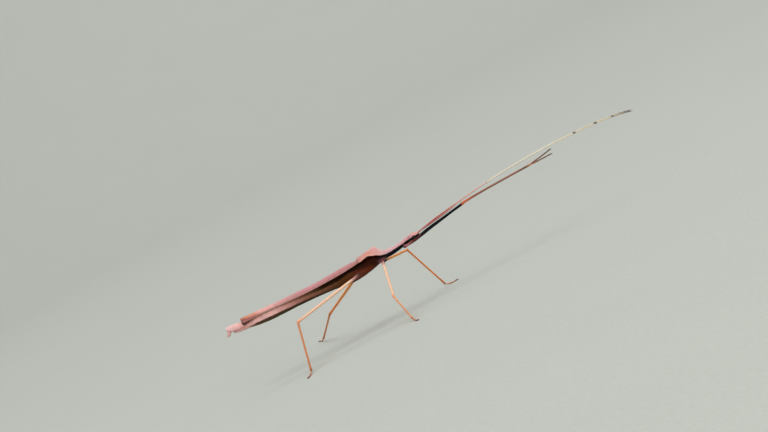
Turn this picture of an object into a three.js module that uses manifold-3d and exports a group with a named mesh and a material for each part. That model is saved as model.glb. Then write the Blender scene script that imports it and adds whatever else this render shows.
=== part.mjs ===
// Winged stick insect, life size, standing on its four hind feet with the fore legs and feelers
// stretched forward. Millimetres, +X forward, +Y to its left, +Z up, soles at z = 0.
import * as THREE from 'three';
import { mergeVertices } from 'three/addons/utils/BufferGeometryUtils.js';
import Module from 'manifold-3d';

const wasm = await Module();
wasm.setup();

// ---------------------------------------------------------------- driving dimensions
const WELD = 1e-5;
const SEGMENT_GAP = 0.14;
const TRUNK_SIDES = 16;
const LEG_SIDES = 8;
const TRUNK_WAIST = 0.42; // height of the widest line, as a share of the section's depth

// Outline of the trunk under the wings: place along the body, top, bottom, half width.
const TRUNK = [
  { x: 9.5, top: 21.85, bottom: 19.9, half: 0.9 },
  { x: 8.0, top: 21.62, bottom: 19.65, half: 1.05 },
  { x: 6.4, top: 21.3, bottom: 19.3, half: 0.98 },
  { x: 3.4, top: 21.12, bottom: 18.8, half: 1.0 },
  { x: 0.8, top: 21.44, bottom: 18.65, half: 1.25 },
  { x: -1.2, top: 21.7, bottom: 18.35, half: 1.5 },
  { x: -5.6, top: 21.75, bottom: 17.35, half: 1.75 },
  { x: -9.2, top: 21.85, bottom: 16.75, half: 2.0 },
  { x: -12.4, top: 21.95, bottom: 16.65, half: 1.95 },
  { x: -17.0, top: 21.78, bottom: 17.2, half: 1.7 },
  { x: -23.0, top: 21.58, bottom: 17.75, half: 1.55 },
  { x: -31.0, top: 21.78, bottom: 18.1, half: 1.5 },
  { x: -42.0, top: 22.1, bottom: 18.25, half: 1.35 },
  { x: -48.5, top: 22.0, bottom: 19.1, half: 1.08 },
  { x: -50.0, top: 22.05, bottom: 19.7, half: 1.05 },
  { x: -53.6, top: 22.72, bottom: 20.25, half: 1.05 },
  { x: -56.1, top: 22.7, bottom: 21.0, half: 0.8 },
];

const PROTHORAX = { front: 9.5, back: 6.45, rings: 6, flare: 0 };
const MESOTHORAX = { front: 6.3, back: -1.1, rings: 9, flare: 0 };
const METATHORAX = { front: -1.24, back: -12.4, rings: 9, flare: 0 };
const ABDOMEN_FRONT = -12.54;
const ABDOMEN_LENGTHS = [6.2, 6.5, 6.6, 6.3, 5.7, 4.5, 2.9, 2.3, 2.5]; // segments 2 to 10
const ABDOMEN_RINGS = 4;
const ABDOMEN_FLARE = 0.04;

// Outline of the head, from the neck to the brow.
const HEAD = [
  { x: 9.65, top: 21.85, bottom: 20.15, half: 0.72 },
  { x: 10.2, top: 22.02, bottom: 19.95, half: 1.03 },
  { x: 11.1, top: 22.16, bottom: 19.88, half: 1.18 },
  { x: 12.1, top: 22.1, bottom: 20.04, half: 1.12 },
  { x: 12.9, top: 21.92, bottom: 20.36, half: 0.86 },
  { x: 13.3, top: 21.78, bottom: 20.6, half: 0.56 },
];
const HEAD_RINGS = 10;
const EYE = { x: 11.35, y: 1.09, z: 20.88, long: 0.58, wide: 0.38, tall: 0.45, socket: 1.16 };
const MOUTH = { front: 13.8, back: 12.25, top: 20.24, bottom: 19.68, half: 0.5, drop: 0.42 };

// Folded hind wing: place, height of the mid line, half width, drop of the outer flap.
const WING_PLATE = 0.5;
const WING_MIDLINE = 0.08;
const HIND_WING = [
  { x: -4.4, top: 22.42, half: 1.45, drop: 0.66 },
  { x: -8.0, top: 22.48, half: 1.8, drop: 0.8 },
  { x: -10.0, top: 22.68, half: 2.1, drop: 1.22 },
  { x: -13.5, top: 22.66, half: 2.15, drop: 1.5 },
  { x: -18.5, top: 22.42, half: 2.1, drop: 1.5 },
  { x: -24.0, top: 22.26, half: 1.98, drop: 1.45 },
  { x: -31.0, top: 22.46, half: 1.92, drop: 1.5 },
  { x: -39.0, top: 22.7, half: 1.82, drop: 1.28 },
  { x: -45.0, top: 22.98, half: 1.68, drop: 1.28 },
  { x: -48.4, top: 23.16, half: 1.56, drop: 1.45 },
  { x: -50.2, top: 23.24, half: 1.3, drop: 1.5 },
];
const HIND_WING_CUTS = { along: 14, across: 5 };
const TEGMEN = [
  { x: 0.15, top: 21.98, half: 2.1, drop: 1.6 },
  { x: -1.75, top: 22.55, half: 2.18, drop: 1.28 },
  { x: -3.0, top: 22.72, half: 2.05, drop: 1.02 },
  { x: -4.4, top: 22.98, half: 1.98, drop: 0.64 },
  { x: -6.3, top: 23.22, half: 2.2, drop: 1.22 },
  { x: -8.3, top: 23.06, half: 2.4, drop: 1.56 },
];
const TEGMEN_CUTS = { along: 9, across: 6 };
const TEGMEN_HUMP = {
  x: -1.75, rise: 1.5, ahead: 1.7, behind: 5.0, power: 1.3, across: 0.42, spread: 0.38,
};

const SUBGENITAL_PLATE = { front: -48.9, back: -54.35, clear: 0.12, thick: 0.5, sag: 0.18, wrap: 56 };
const CERCUS = { x: [-55.6, -56.6], y: 0.5, z: [20.75, 19.65], base: 0.6, end: 0.42, flat: 0.74 };

// Feelers: waypoints from the brow to the tip; the sideways value is for the left one, and the
// fourth value is how much higher the left one lies there.
const SCAPE = { from: [13.5, 0.36, 21.5], to: [15.1, 0.38, 21.82], base: 0.31 };
const FLAGELLUM = [
  [15.25, 0.38, 21.83, 0],
  [20.0, 0.42, 22.43, 0.3],
  [24.0, 0.47, 22.98, 0.38],
  [26.0, 0.49, 23.35, 0.35],
  [28.5, 0.53, 23.93, 0.1],
  [31.5, 0.57, 24.42, 0],
  [38.2, 0.7, 25.26, 0],
  [50.0, 1.0, 26.25, 0],
  [64.0, 1.5, 26.64, 0],
  [78.3, 2.1, 26.16, 0],
  [86.0, 2.45, 25.3, 0],
  [91.1, 2.7, 24.3, 0],
];
const FLAGELLUM_SIZE = { base: 0.3, tip: 0.25, rings: 26, sides: 6 };

// Standing legs: the hip, the turn and rise of the thigh, and the turn of shin and foot (degrees).
const ANKLE_HEIGHT = 0.85;
const SOLE_CENTRE = 0.27;
const HIND_LEG = {
  femur: 24.0, tibia: 24.2, tarsus: 7.0, thick: 0.49, shin: 0.38, foot: 0.32, coxa: 1.9, swell: 1.0,
};
const MID_LEG = {
  femur: 14.6, tibia: 17.0, tarsus: 5.2, thick: 0.44, shin: 0.34, foot: 0.3, coxa: 1.7, swell: 1.2,
};
const STANDING = [
  {
    name: 'hind_right', size: HIND_LEG, hip: [-10.15, -2.66, 18.24],
    femur: [-170.5, -9.4], tibia: -91.5, tarsus: -98,
  },
  {
    name: 'hind_left', size: HIND_LEG, hip: [-10.1, 2.6, 18.3],
    femur: [137.4, -21.7], tibia: 112.5, tarsus: 113,
  },
  {
    name: 'mid_right', size: MID_LEG, hip: [-1.05, -1.45, 18.45],
    femur: [-96.4, -46.6], tibia: -77, tarsus: -68,
  },
  {
    name: 'mid_left', size: MID_LEG, hip: [-0.7, 1.35, 18.2],
    femur: [61.2, -5.6], tibia: 18, tarsus: 26,
  },
];

// Fore legs: they lie along the head and run forward together (sideways values for the left one).
// The fourth value is how much higher the left one lies there.
const FORE_LEG = { thick: 0.41, shin: 0.29, foot: 0.27, swell: 1.2 };
const FORE_COXA = [[7.45, 1.5, 19.44, 0], [8.75, 1.56, 19.47, 0]];
const FORE_FEMUR = [
  [8.95, 1.56, 19.49, 0],
  [12.4, 1.6, 19.9, 0.08],
  [15.6, 1.08, 20.6, 0.18],
  [17.5, 0.88, 20.9, 0.18],
  [20.0, 0.72, 21.32, 0.14],
  [22.0, 0.69, 21.64, 0.08],
  [24.0, 0.66, 22.0, 0.05],
  [26.5, 0.63, 22.42, 0.02],
  [28.5, 0.61, 22.7, 0.05],
  [30.6, 0.6, 23.08, 0.1],
];
const FORE_TIBIA = [
  [31.05, 0.6, 23.2, 0.1],
  [34.0, 0.61, 23.37, 0.08],
  [42.0, 0.64, 23.68, 0.06],
  [54.6, 0.68, 23.98, 0.04],
];
const FORE_TARSUS = {
  left: [[55.0, 0.72, 24.07], [58.8, 0.95, 24.64], [62.3, 1.15, 25.28]],
  right: [[55.0, -0.72, 24.0], [58.6, -1.0, 23.99], [61.9, -1.3, 24.05]],
};

// Joint stations of a foot (shares of its length) and the girth there, base and end of each joint.
const TARSUS_STATIONS = [0, 0.34, 0.37, 0.52, 0.55, 0.65, 0.68, 0.76, 0.79, 1];
const TARSUS_GIRTHS = [0.82, 1.06, 0.82, 1.06, 0.82, 1.06, 0.82, 1.06, 0.84, 0.96];
const CLAW = { length: 0.95, root: 0.2, tip: 0.1, spread: 32, sides: 5, inset: 0.35 };

const COLOURS = {
  rose: 0xc98d90,
  wing: 0xbf8485,
  ink: 0x15161c,
  umber: 0x4a2a1a,
  blush: 0xd9a29c,
  cream: 0xeec79a,
  rust: 0xb5532f,
  straw: 0xe2d9bb,
};

// ---------------------------------------------------------------- helpers
const model = new THREE.Group();
const radians = THREE.MathUtils.degToRad;

/** Cubic curve through the rows of an outline, read at one place along the body. */
function readOutline(rows, x) {
  const last = rows.length - 1;
  const direction = Math.sign(rows[last].x - rows[0].x);
  const passed = rows.filter((row) => (x - row.x) * direction >= 0).length;
  const k = THREE.MathUtils.clamp(passed - 1, 0, last - 1);
  const [r0, r1, r2, r3] = [Math.max(k - 1, 0), k, k + 1, Math.min(k + 2, last)].map((i) => rows[i]);
  const span = r2.x - r1.x;
  const t = THREE.MathUtils.clamp((x - r1.x) / span, 0, 1);
  const section = { x };
  for (const key of Object.keys(r1).filter((name) => name !== 'x')) {
    const slope1 = r0 === r1 ? 0 : ((r2[key] - r0[key]) / (r2.x - r0.x)) * span;
    const slope2 = r3 === r2 ? 0 : ((r3[key] - r1[key]) / (r3.x - r1.x)) * span;
    const a = 2 * t ** 3 - 3 * t ** 2 + 1;
    const b = t ** 3 - 2 * t ** 2 + t;
    const c = t ** 3 - t ** 2;
    section[key] = a * r1[key] + b * slope1 + (1 - a) * r2[key] + c * slope2;
  }
  return section;
}

/** Six times the volume inside a closed indexed geometry, negative when it is inside out. */
function signedVolume(geometry) {
  const { position } = geometry.attributes;
  const index = geometry.index.array;
  const [a, b, c] = [new THREE.Vector3(), new THREE.Vector3(), new THREE.Vector3()];
  let sum = 0;
  for (let i = 0; i < index.length; i += 3) {
    a.fromBufferAttribute(position, index[i]);
    b.fromBufferAttribute(position, index[i + 1]);
    c.fromBufferAttribute(position, index[i + 2]);
    sum += a.dot(b.cross(c));
  }
  return sum;
}

/** Keeps only the welded positions and turns the faces outwards. */
function closed(geometry) {
  geometry.deleteAttribute('normal');
  geometry.deleteAttribute('uv');
  const welded = mergeVertices(geometry, WELD);
  if (signedVolume(welded) < 0) {
    const index = welded.index.array;
    for (let i = 0; i < index.length; i += 3) {
      [index[i], index[i + 1]] = [index[i + 1], index[i]];
    }
  }
  welded.computeVertexNormals();
  return welded;
}

/** Moves every vertex of a geometry with a function that rewrites it in place. */
function reshape(geometry, move) {
  const { position } = geometry.attributes;
  const vertex = new THREE.Vector3();
  for (let i = 0; i < position.count; i += 1) {
    vertex.fromBufferAttribute(position, i);
    move(vertex);
    position.setXYZ(i, vertex.x, vertex.y, vertex.z);
  }
  return closed(geometry);
}

/** A stack of egg-shaped sections along the body. */
function lengthwise(sections, sides = TRUNK_SIDES) {
  const bands = sections.length - 1;
  return reshape(new THREE.CylinderGeometry(1, 1, 1, sides, bands), (v) => {
    const { x, top, bottom, half } = sections[Math.round((v.y + 0.5) * bands)];
    const waist = bottom + TRUNK_WAIST * (top - bottom);
    const [lift, side] = [v.x, v.z];
    v.set(x, side * half, waist + lift * (lift > 0 ? top - waist : waist - bottom));
  });
}

/** Evenly spaced sections of an outline between two places. */
function sectionsOf(rows, { front, back, rings, flare = 0 }) {
  return Array.from({ length: rings }, (_, i) => {
    const share = i / (rings - 1);
    const section = readOutline(rows, THREE.MathUtils.lerp(front, back, share));
    section.half *= 1 + flare * (share - 0.5);
    return section;
  });
}

/** A round rod along a curve; the girth is a radius for each ring. */
function rod(curve, stations, radii, sides = LEG_SIDES) {
  const up = new THREE.Vector3(0, 0, 1);
  const bands = stations.length - 1;
  return reshape(new THREE.CylinderGeometry(1, 1, 1, sides, bands), (v) => {
    const ring = Math.round((v.y + 0.5) * bands);
    const centre = curve.getPointAt(stations[ring]);
    const along = curve.getTangentAt(stations[ring]);
    const side = new THREE.Vector3().crossVectors(along, up).normalize();
    const lift = new THREE.Vector3().crossVectors(side, along);
    const [a, b] = [v.x * radii[ring], v.z * radii[ring]];
    v.copy(centre).addScaledVector(lift, a).addScaledVector(side, b);
  });
}

const spread = (count) => Array.from({ length: count }, (_, i) => i / (count - 1));
const vector = ([x, y, z]) => new THREE.Vector3(x, y, z);
const sided = (point, sign) => vector([point[0], point[1] * sign, point[2]]);
const staggered = (point, sign) => sided([point[0], point[1], point[2] + (sign > 0 ? point[3] : 0)], sign);
const through = (points) => new THREE.CatmullRomCurve3(points, false, 'catmullrom', 0.5);

/** Direction of a limb from its turn about +Z and its rise, both in radians. */
function heading(turn, rise) {
  return vector([Math.cos(rise) * Math.cos(turn), Math.cos(rise) * Math.sin(turn), Math.sin(rise)]);
}

function toManifold(geometry) {
  return new wasm.Manifold(new wasm.Mesh({
    numProp: 3,
    vertProperties: new Float32Array(geometry.attributes.position.array),
    triVerts: new Uint32Array(geometry.index.array),
  }));
}

function fromManifold(solid) {
  const mesh = solid.getMesh();
  const geometry = new THREE.BufferGeometry();
  geometry.setAttribute('position', new THREE.BufferAttribute(mesh.vertProperties, 3));
  geometry.setIndex(new THREE.BufferAttribute(mesh.triVerts, 1));
  geometry.computeVertexNormals();
  return geometry;
}

function addPart(name, geometry, colour, roughness) {
  const material = new THREE.MeshStandardMaterial({ color: colour, roughness, metalness: 0 });
  const mesh = new THREE.Mesh(geometry, material);
  mesh.name = name;
  model.add(mesh);
}

const SIDES = [{ name: 'right', sign: -1 }, { name: 'left', sign: 1 }];

// ---------------------------------------------------------------- trunk
addPart('prothorax', lengthwise(sectionsOf(TRUNK, PROTHORAX)), COLOURS.ink, 0.4);
addPart('mesothorax', lengthwise(sectionsOf(TRUNK, MESOTHORAX)), COLOURS.ink, 0.4);
addPart('metathorax', lengthwise(sectionsOf(TRUNK, METATHORAX)), COLOURS.umber, 0.5);

let segmentFront = ABDOMEN_FRONT;
ABDOMEN_LENGTHS.forEach((length, i) => {
  const back = segmentFront - length + SEGMENT_GAP;
  const span = { front: segmentFront, back, rings: ABDOMEN_RINGS, flare: ABDOMEN_FLARE };
  addPart(`abdomen_${i + 2}`, lengthwise(sectionsOf(TRUNK, span)), COLOURS.blush, 0.55);
  segmentFront -= length;
});

// Plate under the end of the abdomen: a shallow boat with one thickness that narrows backwards.
const plateShape = new THREE.BoxGeometry(1, 1, 1, 6, 6, 1);
addPart('subgenital_plate', reshape(plateShape, (v) => {
  const share = 0.5 - v.x;
  const { front, back, clear, thick, sag, wrap } = SUBGENITAL_PLATE;
  const x = THREE.MathUtils.lerp(front, back, share);
  const { bottom, top, half } = readOutline(TRUNK, x);
  const waist = bottom + TRUNK_WAIST * (top - bottom);
  const outer = clear + thick * (0.5 - v.z);
  const turn = 2 * v.y * radians(wrap) * Math.sqrt(1 - 0.6 * share ** 3);
  const depth = waist - bottom + outer + sag * Math.sin(Math.PI * share);
  v.set(x, (half + outer) * Math.sin(turn), waist - depth * Math.cos(turn));
}), COLOURS.blush, 0.55);

for (const { name, sign } of SIDES) {
  const { x, y, z, base, end, flat } = CERCUS;
  const curve = through([vector([x[0], 0, z[0]]), vector([x[1], 0, z[1]])]);
  const radii = spread(4).map((t) => THREE.MathUtils.lerp(base, end, t));
  const blade = rod(curve, spread(4), radii).scale(1, flat, 1).translate(0, y * sign, 0);
  addPart(`cercus_${name}`, blade, COLOURS.blush, 0.55);
}

// ---------------------------------------------------------------- head
const eyeball = (sign, scale) => {
  const ball = new THREE.SphereGeometry(1, 12, 7);
  ball.scale(EYE.long * scale, EYE.wide * scale, EYE.tall * scale);
  ball.translate(EYE.x, EYE.y * sign, EYE.z);
  return closed(ball);
};
const headSpan = { front: HEAD[0].x, back: HEAD[HEAD.length - 1].x, rings: HEAD_RINGS };
let skull = toManifold(lengthwise(sectionsOf(HEAD, headSpan)));
for (const { sign } of SIDES) {
  skull = skull.subtract(toManifold(eyeball(sign, EYE.socket)));
}
addPart('head', fromManifold(skull), COLOURS.rose, 0.45);

const mouthSections = spread(5).map((t) => {
  const taper = Math.sqrt(1 - 0.75 * t ** 2);
  const sink = MOUTH.drop * (1 - t) * 0.5;
  return {
    x: THREE.MathUtils.lerp(MOUTH.back, MOUTH.front, t),
    top: MOUTH.top - sink,
    bottom: MOUTH.bottom - sink + 0.2 * (1 - taper),
    half: MOUTH.half * taper,
  };
});
addPart('mouthparts', lengthwise(mouthSections, 12), COLOURS.umber, 0.5);

for (const { name, sign } of SIDES) {
  addPart(`eye_${name}`, eyeball(sign, 1), COLOURS.ink, 0.2);
  const base = through([sided(SCAPE.from, sign), sided(SCAPE.to, sign)]);
  const radii = [0.9, 1, 1, 0.86, 0.95].map((k) => k * SCAPE.base);
  addPart(`antenna_base_${name}`, rod(base, [0, 0.15, 0.55, 0.68, 1], radii), COLOURS.rose, 0.5);
  const curve = through(FLAGELLUM.map((point) => staggered(point, sign)));
  const stations = spread(FLAGELLUM_SIZE.rings);
  const girths = stations.map((t) => THREE.MathUtils.lerp(FLAGELLUM_SIZE.base, FLAGELLUM_SIZE.tip, t));
  const flagellum = rod(curve, stations, girths, FLAGELLUM_SIZE.sides);
  addPart(`antenna_flagellum_${name}`, flagellum, COLOURS.straw, 0.5);
}

// ---------------------------------------------------------------- wings
/** One folded wing: a bent plate from the mid line over the back and down the flank. */
function foldedWing(rows, cuts, sign, rise) {
  const box = new THREE.BoxGeometry(1, 1, 1, cuts.along, cuts.across, 1);
  return reshape(box, (v) => {
    const [share, across, inner] = [0.5 - v.x, v.y + 0.5, 0.5 - v.z];
    const x = THREE.MathUtils.lerp(rows[0].x, rows[rows.length - 1].x, share);
    const { top, half, drop } = readOutline(rows, x);
    const bend = (across * Math.PI) / 2;
    const width = half - WING_MIDLINE - inner * WING_PLATE;
    const fall = drop - inner * WING_PLATE;
    const y = WING_MIDLINE + width * Math.sin(bend) ** 0.9;
    const z = top - inner * WING_PLATE - fall * (1 - Math.max(Math.cos(bend), 0) ** 0.8);
    v.set(x, sign * y, z + rise(x, across));
  });
}

/** Height of the shoulder hump of a tegmen at one place. */
function humpRise(x, across) {
  const { rise, ahead, behind, power, spread: width } = TEGMEN_HUMP;
  const away = x - TEGMEN_HUMP.x;
  const lengthShare = Math.max(0, 1 - Math.abs(away) / (away > 0 ? ahead : behind));
  const widthShare = Math.max(0, 1 - Math.abs(across - TEGMEN_HUMP.across) / width);
  return rise * lengthShare ** power * Math.sin((widthShare * Math.PI) / 2);
}

for (const { name, sign } of SIDES) {
  const wing = foldedWing(HIND_WING, HIND_WING_CUTS, sign, () => 0);
  addPart(`hind_wing_${name}`, wing, COLOURS.wing, 0.6);
  addPart(`tegmen_${name}`, foldedWing(TEGMEN, TEGMEN_CUTS, sign, humpRise), COLOURS.rose, 0.6);
}

// ---------------------------------------------------------------- legs
const COXA_GIRTHS = [1.05, 1.15, 0.95, 0.8, 0.92];
const COXA_STATIONS = [0, 0.3, 0.58, 0.66, 1];
const FEMUR_GIRTHS = [0.9, 1.0, 1.02, 0.96, 0.86, 0.84, 1.02, 0.95];
const FEMUR_STATIONS = [0, 0.1, 0.3, 0.55, 0.8, 0.93, 0.98, 1];
const TIBIA_GIRTHS = [1.05, 1.1, 0.92, 0.86, 0.84, 1.0, 0.92];
const TIBIA_STATIONS = [0, 0.03, 0.1, 0.5, 0.9, 0.98, 1];

const scaled = (girths, radius) => girths.map((girth) => girth * radius);

/** Foot of five joints with two claws; it is planed flat at the floor when it stands on it. */
function foot(curve, radius, stands) {
  let solid = toManifold(rod(curve, TARSUS_STATIONS, scaled(TARSUS_GIRTHS, radius)));
  const end = curve.getPointAt(1);
  const along = curve.getTangentAt(1);
  for (const turn of [-CLAW.spread, CLAW.spread]) {
    const aim = along.clone().applyAxisAngle(new THREE.Vector3(0, 0, 1), radians(turn));
    const start = end.clone().addScaledVector(along, -CLAW.inset * 0.5);
    const tip = start.clone().addScaledVector(aim, CLAW.length);
    tip.z += stands ? -0.06 : 0.08;
    const claw = rod(through([start, tip]), [0, 0.5, 1], [CLAW.root, CLAW.root, CLAW.tip], CLAW.sides);
    solid = solid.add(toManifold(claw));
  }
  if (!stands) {
    return fromManifold(solid);
  }
  const floor = new THREE.BoxGeometry(40, 40, 2);
  floor.translate(end.x, end.y, -1);
  return fromManifold(solid.subtract(toManifold(closed(floor))));
}

function addLeg(name, pieces) {
  const { coxa, femur, tibia, tarsus, size, stands } = pieces;
  const wide = COXA_GIRTHS.map((girth, i) => (
    girth * size.thick * THREE.MathUtils.lerp(size.swell, 1, COXA_STATIONS[i])
  ));
  addPart(`coxa_${name}`, rod(coxa, COXA_STATIONS, wide), COLOURS.rose, 0.5);
  const thigh = rod(femur, FEMUR_STATIONS, scaled(FEMUR_GIRTHS, size.thick));
  addPart(`femur_${name}`, thigh, stands ? COLOURS.cream : COLOURS.ink, 0.5);
  const shin = rod(tibia, TIBIA_STATIONS, scaled(TIBIA_GIRTHS, size.shin));
  addPart(`tibia_${name}`, shin, stands ? COLOURS.cream : COLOURS.rust, 0.5);
  addPart(`tarsus_${name}`, foot(tarsus, size.foot, stands), COLOURS.rust, 0.5);
}

for (const { name, size, hip, femur, tibia, tarsus } of STANDING) {
  const aim = heading(radians(femur[0]), radians(femur[1]));
  const root = vector(hip);
  const knee = root.clone().addScaledVector(aim, size.femur);
  const shinRise = Math.asin((ANKLE_HEIGHT - knee.z) / size.tibia);
  const shinAim = heading(radians(tibia), shinRise);
  const ankle = knee.clone().addScaledVector(shinAim, size.tibia);
  const kneeClear = 0.12 + size.thick * aim.clone().cross(shinAim).length() + size.shin * 0.4;
  const footAim = heading(radians(tarsus), 0);
  const heel = ankle.clone().addScaledVector(footAim, size.shin + 0.12);
  heel.z = ANKLE_HEIGHT - 0.18;
  const ball = ankle.clone().addScaledVector(footAim, size.tarsus * 0.45);
  ball.z = SOLE_CENTRE;
  const toe = ankle.clone().addScaledVector(footAim, size.tarsus - CLAW.length);
  toe.z = SOLE_CENTRE;
  const along = (start, way, from, to) => new THREE.LineCurve3(
    start.clone().addScaledVector(way, from),
    start.clone().addScaledVector(way, to),
  );
  addLeg(name, {
    coxa: along(root, aim, 0, size.coxa),
    femur: along(root, aim, size.coxa + SEGMENT_GAP, size.femur + size.shin * 0.6),
    tibia: along(knee, shinAim, kneeClear, size.tibia),
    tarsus: through([heel, ball, toe]),
    size,
    stands: true,
  });
}

for (const { name, sign } of SIDES) {
  addLeg(`fore_${name}`, {
    coxa: through(FORE_COXA.map((point) => staggered(point, sign))),
    femur: through(FORE_FEMUR.map((point) => staggered(point, sign))),
    tibia: through(FORE_TIBIA.map((point) => staggered(point, sign))),
    tarsus: through(FORE_TARSUS[name].map(vector)),
    size: FORE_LEG,
    stands: false,
  });
}

// The origin sits on the floor below the middle of the whole outline.
const box = new THREE.Box3().setFromObject(model);
const centre = box.getCenter(new THREE.Vector3());
model.position.set(-centre.x, -centre.y, 0);

const group = new THREE.Group();
group.add(model);

export default group;
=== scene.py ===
"""Finish model of a life-size winged stick insect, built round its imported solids.

Pieces are drawn in millimetres in the body's own measure: x forward from the middle hips, y to the
insect's left, z up from the floor. `Datum` then sets each one into the frame, in metres.
"""

import logging
import math
from collections.abc import Callable, Iterable
from dataclasses import dataclass
from enum import Enum

import bpy
from bpy.types import Material, Node, NodeSocket, Object
from mathutils import Matrix, Vector


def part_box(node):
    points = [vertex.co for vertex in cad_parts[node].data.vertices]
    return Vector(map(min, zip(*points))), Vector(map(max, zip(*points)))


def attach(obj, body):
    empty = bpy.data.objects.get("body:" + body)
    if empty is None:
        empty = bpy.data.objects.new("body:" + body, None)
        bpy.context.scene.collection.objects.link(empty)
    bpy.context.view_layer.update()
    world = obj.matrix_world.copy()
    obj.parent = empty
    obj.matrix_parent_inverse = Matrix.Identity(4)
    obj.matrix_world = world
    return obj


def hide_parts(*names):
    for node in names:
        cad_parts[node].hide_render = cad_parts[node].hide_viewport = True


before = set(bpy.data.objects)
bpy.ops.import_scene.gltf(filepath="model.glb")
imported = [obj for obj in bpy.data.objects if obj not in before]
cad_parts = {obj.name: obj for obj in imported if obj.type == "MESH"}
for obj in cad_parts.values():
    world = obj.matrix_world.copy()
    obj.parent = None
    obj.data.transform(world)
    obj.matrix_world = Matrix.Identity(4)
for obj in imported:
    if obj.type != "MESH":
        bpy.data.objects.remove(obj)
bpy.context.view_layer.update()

LOG = logging.getLogger("stick_insect")
MM = 0.001
BODY = "root"
UP = Vector((0.0, 0.0, 1.0))
WELD = 0.0005  # corners closer than this, in millimetres, become one

Place = tuple[float, float, float]
Rows = tuple[tuple[float, ...], ...]
Marks = tuple[tuple[float, float], ...]  # places or shares, each with a girth or another value
Shades = tuple[tuple[float, str], ...]  # places or shares, each with a colour


class Side(Enum):
    """The two flanks of the insect, by the sign of their y."""

    RIGHT = -1
    LEFT = 1

    @property
    def label(self) -> str:
        """The side as node names spell it."""
        return self.name.lower()

    def point(self, place: Iterable[float]) -> Vector:
        """A place given for the left side, mirrored where this side is the right one."""
        x, y, z = place
        return Vector((x, y * self.value, z))

    def course(self, rows: Iterable[tuple[float, ...]]) -> list[Vector]:
        """Waypoints of this side; the last value of a row is how much higher the left one lies."""
        share = 1.0 if self is Side.LEFT else 0.0
        return [self.point((x, y, z + lift * share)) for x, y, z, lift in rows]


class Pair(Enum):
    """The three pairs of legs, as node names spell them."""

    HIND = "hind"
    MID = "mid"
    FORE = "fore"


# ------------------------------------------------------------------ measures
@dataclass(frozen=True)
class Outline:
    """A smooth table: sizes given at a few places and read anywhere between them."""

    rows: Rows

    def read(self, place: float) -> tuple[float, ...]:
        """Reads the sizes at one place along a cubic curve through the rows.

        Args:
            place: Where to read, in the unit of the rows' first column.

        Returns:
            One value for each further column.
        """
        last = len(self.rows) - 1
        way = 1 if self.rows[last][0] > self.rows[0][0] else -1
        passed = sum((place - row[0]) * way >= 0 for row in self.rows)
        k = min(max(passed - 1, 0), last - 1)
        before, start, end, after = (self.rows[i] for i in (max(k - 1, 0), k, k + 1, min(k + 2, last)))
        span = end[0] - start[0]
        t = min(max((place - start[0]) / span, 0.0), 1.0)
        keep = 2 * t**3 - 3 * t**2 + 1
        values = []
        for i in range(1, len(start)):
            leave = 0.0 if k == 0 else (end[i] - before[i]) / (end[0] - before[0]) * span
            arrive = 0.0 if k == last - 1 else (after[i] - start[i]) / (after[0] - start[0]) * span
            bend = (t**3 - 2 * t**2 + t) * leave + (t**3 - t**2) * arrive
            values.append(keep * start[i] + (1 - keep) * end[i] + bend)
        return tuple(values)


@dataclass(frozen=True)
class Track:
    """A stretch of the body's length, so that a place on it can be told as a share."""

    start: float
    end: float

    @property
    def length(self) -> float:
        """How long the stretch is."""
        return self.end - self.start

    def share(self, x: float) -> float:
        """The share of the stretch that lies before x."""
        return (x - self.start) / self.length


class Route:
    """A smooth line through waypoints, measured by its own length."""

    PIECES = 24
    NEAR = 0.004

    def __init__(self, waypoints: Iterable[Iterable[float]]) -> None:
        """Traces the line finely.

        Args:
            waypoints: The places it passes through, in order.
        """
        marks = [Vector(mark) for mark in waypoints]
        marks = [marks[0] * 2 - marks[1], *marks, marks[-1] * 2 - marks[-2]]
        self.trace = [marks[1]]
        for a, b, c, d in zip(marks, marks[1:], marks[2:], marks[3:]):
            for step in range(1, self.PIECES + 1):
                t = step / self.PIECES
                bend = (a * 2 - b * 5 + c * 4 - d) * t**2 + (b * 3 - a - c * 3 + d) * t**3
                self.trace.append((b * 2 + (c - a) * t + bend) / 2)
        self.marks = [0.0]
        for a, b in zip(self.trace, self.trace[1:]):
            self.marks.append(self.marks[-1] + (b - a).length)

    @property
    def length(self) -> float:
        """The line's whole length."""
        return self.marks[-1]

    def at(self, share: float) -> Vector:
        """Finds a place on the line.

        Args:
            share: How far along it lies, as a share of the length; it may be a little past either end.

        Returns:
            The place.
        """
        target = share * self.length
        k = min(max(sum(mark <= target for mark in self.marks) - 1, 0), len(self.trace) - 2)
        part = (target - self.marks[k]) / (self.marks[k + 1] - self.marks[k])
        return self.trace[k].lerp(self.trace[k + 1], part) if 0 <= part <= 1 else (
            self.trace[k] + (self.trace[k + 1] - self.trace[k]) * part
        )

    def aim(self, share: float) -> Vector:
        """The direction of travel at a share of the length."""
        ahead, behind = min(share + self.NEAR, 1.0), max(share - self.NEAR, 0.0)
        return (self.at(ahead) - self.at(behind)).normalized()


@dataclass(frozen=True)
class Datum:
    """Where the body's own zero lies in the frame, in millimetres."""

    ahead: float
    aside: float

    BROW_END = 13.3

    @classmethod
    def from_head(cls) -> "Datum":
        """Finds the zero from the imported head, whose front and middle are known."""
        low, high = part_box("head")
        return cls(cls.BROW_END - high.x / MM, -(low.y + high.y) / 2 / MM)

    @property
    def shift(self) -> Vector:
        """How far a piece moves to sit in the frame, in metres."""
        return Vector((-self.ahead, -self.aside, 0.0)) * MM


def bell(away: float, width: float) -> float:
    """A smooth hill: one at its middle, and almost nothing past twice its width."""
    return math.exp(-((away / width) ** 2))


def heading(turn: float, rise: float) -> Vector:
    """The direction of a limb from its turn about +Z and its rise, both in radians."""
    level = math.cos(rise)
    return Vector((level * math.cos(turn), level * math.sin(turn), math.sin(rise)))


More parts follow.
